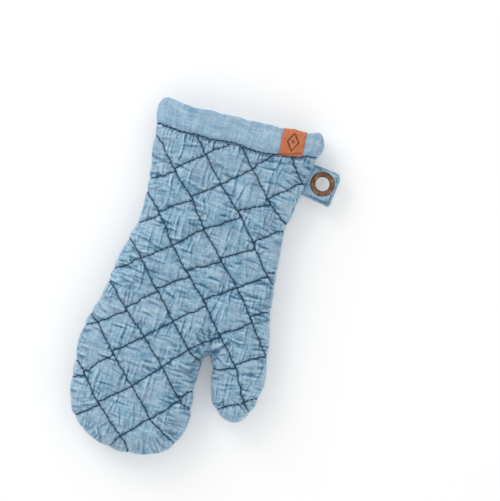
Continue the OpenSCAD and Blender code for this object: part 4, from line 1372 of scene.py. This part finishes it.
def aged_copper(eye, inner, outer):
    """Worn copper, with painted shade darkening it towards the inner and the outer edge of the ring round
    eye.
    """
    s = Shader("aged_copper", 0.4, Metallic=1.0)
    place = s.place()
    patina = s.noise(place, 260.0, 5.0, 0.65)
    scratch = s.noise(place, (900.0, 6000.0, 900.0), 2.0, 0.6)
    centre = tuple(v * MM for v in eye)
    level = s.scaled(place, (1.0, 1.0, 0.0))
    radius = s.add("ShaderNodeVectorMath", {"operation": "DISTANCE"}, i0=level, i1=(*centre, 0.0)).outputs[1]
    off_middle = s.maths("ABSOLUTE", s.maths("SUBTRACT", radius, (inner + outer) / 2 * MM))
    rim = s.maths("DIVIDE", off_middle, (outer - inner) / 2 * MM)
    # Painted shade at the ring's inner and outer edges, laid over the patina.
    patina_and_edge_shade = s.maths("SUBTRACT", patina, s.maths("MULTIPLY", s.maths("POWER", rim, 5.0), 0.35))
    colour = s.ramp(patina_and_edge_shade, [(0.2, rgb("2c1e18")), (0.48, rgb("845f47")), (0.8, rgb("c69d7b"))])
    rough = s.ramp(patina, [(0.3, 0.55), (0.7, 0.30)])
    return s.finish(colour, s.maths("ADD", patina, s.maths("MULTIPLY", scratch, 0.4)), 0.05, rough, 0.5)


def pale_floor():
    s = Shader("pale_floor", 0.9, Specular_IOR_Level=0.1, Emission_Color=(1, 1, 1, 1), Emission_Strength=0.14)
    grain = s.noise(s.place(), 6.0, 2.0)
    return s.finish(s.ramp(grain, [(0.0, 0.93), (1.0, 0.95)]), grain, 0.01)


# ---------------------------------------------------------------- camera, floor and light


def camera():
    """Straight down through a long lens, the mitt leaning to the right in the picture."""
    data = bpy.data.cameras.new("camera")
    data.lens = LENS
    data.sensor_width = SENSOR
    data.clip_end = 20
    cam = bpy.data.objects.new("camera", data)
    distance = LENS / SENSOR * VIEW_WIDTH
    cam.location = (VIEW_CENTRE[0] * MM, VIEW_CENTRE[1] * MM, (distance + VIEW_LEVEL) * MM)
    cam.rotation_euler = (0, 0, math.radians(PICTURE_TURN))
    bpy.context.scene.collection.objects.link(cam)
    bpy.context.scene.camera = cam


def floor(material):
    half, level = 2500.0, -0.02
    corners = [(x, y, level) for x, y in ((-half, -half), (half, -half), (half, half), (-half, half))]
    plane = new_object("floor", corners, [(0, 1, 2, 3)])
    plane.data.materials.append(material)


def area_light(name, place, size, power):
    """A square lamp that shines at the origin; place and size are in metres."""
    data = bpy.data.lights.new(name, "AREA")
    data.size, data.energy = size, power
    lamp = bpy.data.objects.new(name, data)
    lamp.location = place
    lamp.rotation_euler = (-Vector(place)).to_track_quat("-Z", "Y").to_euler()
    bpy.context.scene.collection.objects.link(lamp)


def lights():
    world = bpy.data.worlds.new("room")
    world.use_nodes = True
    world.node_tree.nodes["Background"].inputs["Color"].default_value = (1.0, 1.0, 1.0, 1)
    world.node_tree.nodes["Background"].inputs["Strength"].default_value = ROOM_LIGHT
    bpy.context.scene.world = world
    bpy.context.scene.view_settings.view_transform = "Standard"
    area_light("window", (-1.3, 1.0, 1.1), 1.2, WINDOW_LIGHT)
    area_light("fill", (1.2, -0.8, 1.6), 1.6, FILL_LIGHT)


# ---------------------------------------------------------------- the whole mitt


def build():
    camera()
    shell = cotton("washed_blue_cotton", "43708f", "8ab2cb", "c4dcea", "a5b9cc", 0.52)
    band = cotton("band_cotton", "5e8fb0", "97bad2", "c6dcec", "abbdd3", 0.42)
    inside_cloth = cotton("lining_cotton", "a3b4c2", "b9c8d4", "cfdae3", "c4ccd4", 0.0, wash=0.6)
    thread, fibre = sewing_thread(), batting_fibre()
    first, second, jogs = lattice()
    lines = first + second
    xy, tris = plan(0.0, GRID, PANEL_RINGS, panel_top_y, lines)
    for side in (1, -1):
        shell_inner = quilted_shell(side, xy, tris, lines, shell)
        batting(side, shell_inner, fibre)
        lining(side, inside_cloth)
        quilting(side, lines, jogs, thread)
        cuff_band(side, band)
        hem_stitching(side, thread)
    seam_thread(thread)
    leather_label(tan_leather())
    label_stitching(thread)
    hanging_tab(shell)
    tab_stitching(thread)
    lo, hi = box_mm("eyelet")
    eyelet(aged_copper(Tab.eye, EYELET_HOLE_R, (hi[0] - lo[0]) / 2))
    floor(pale_floor())
    lights()


build()
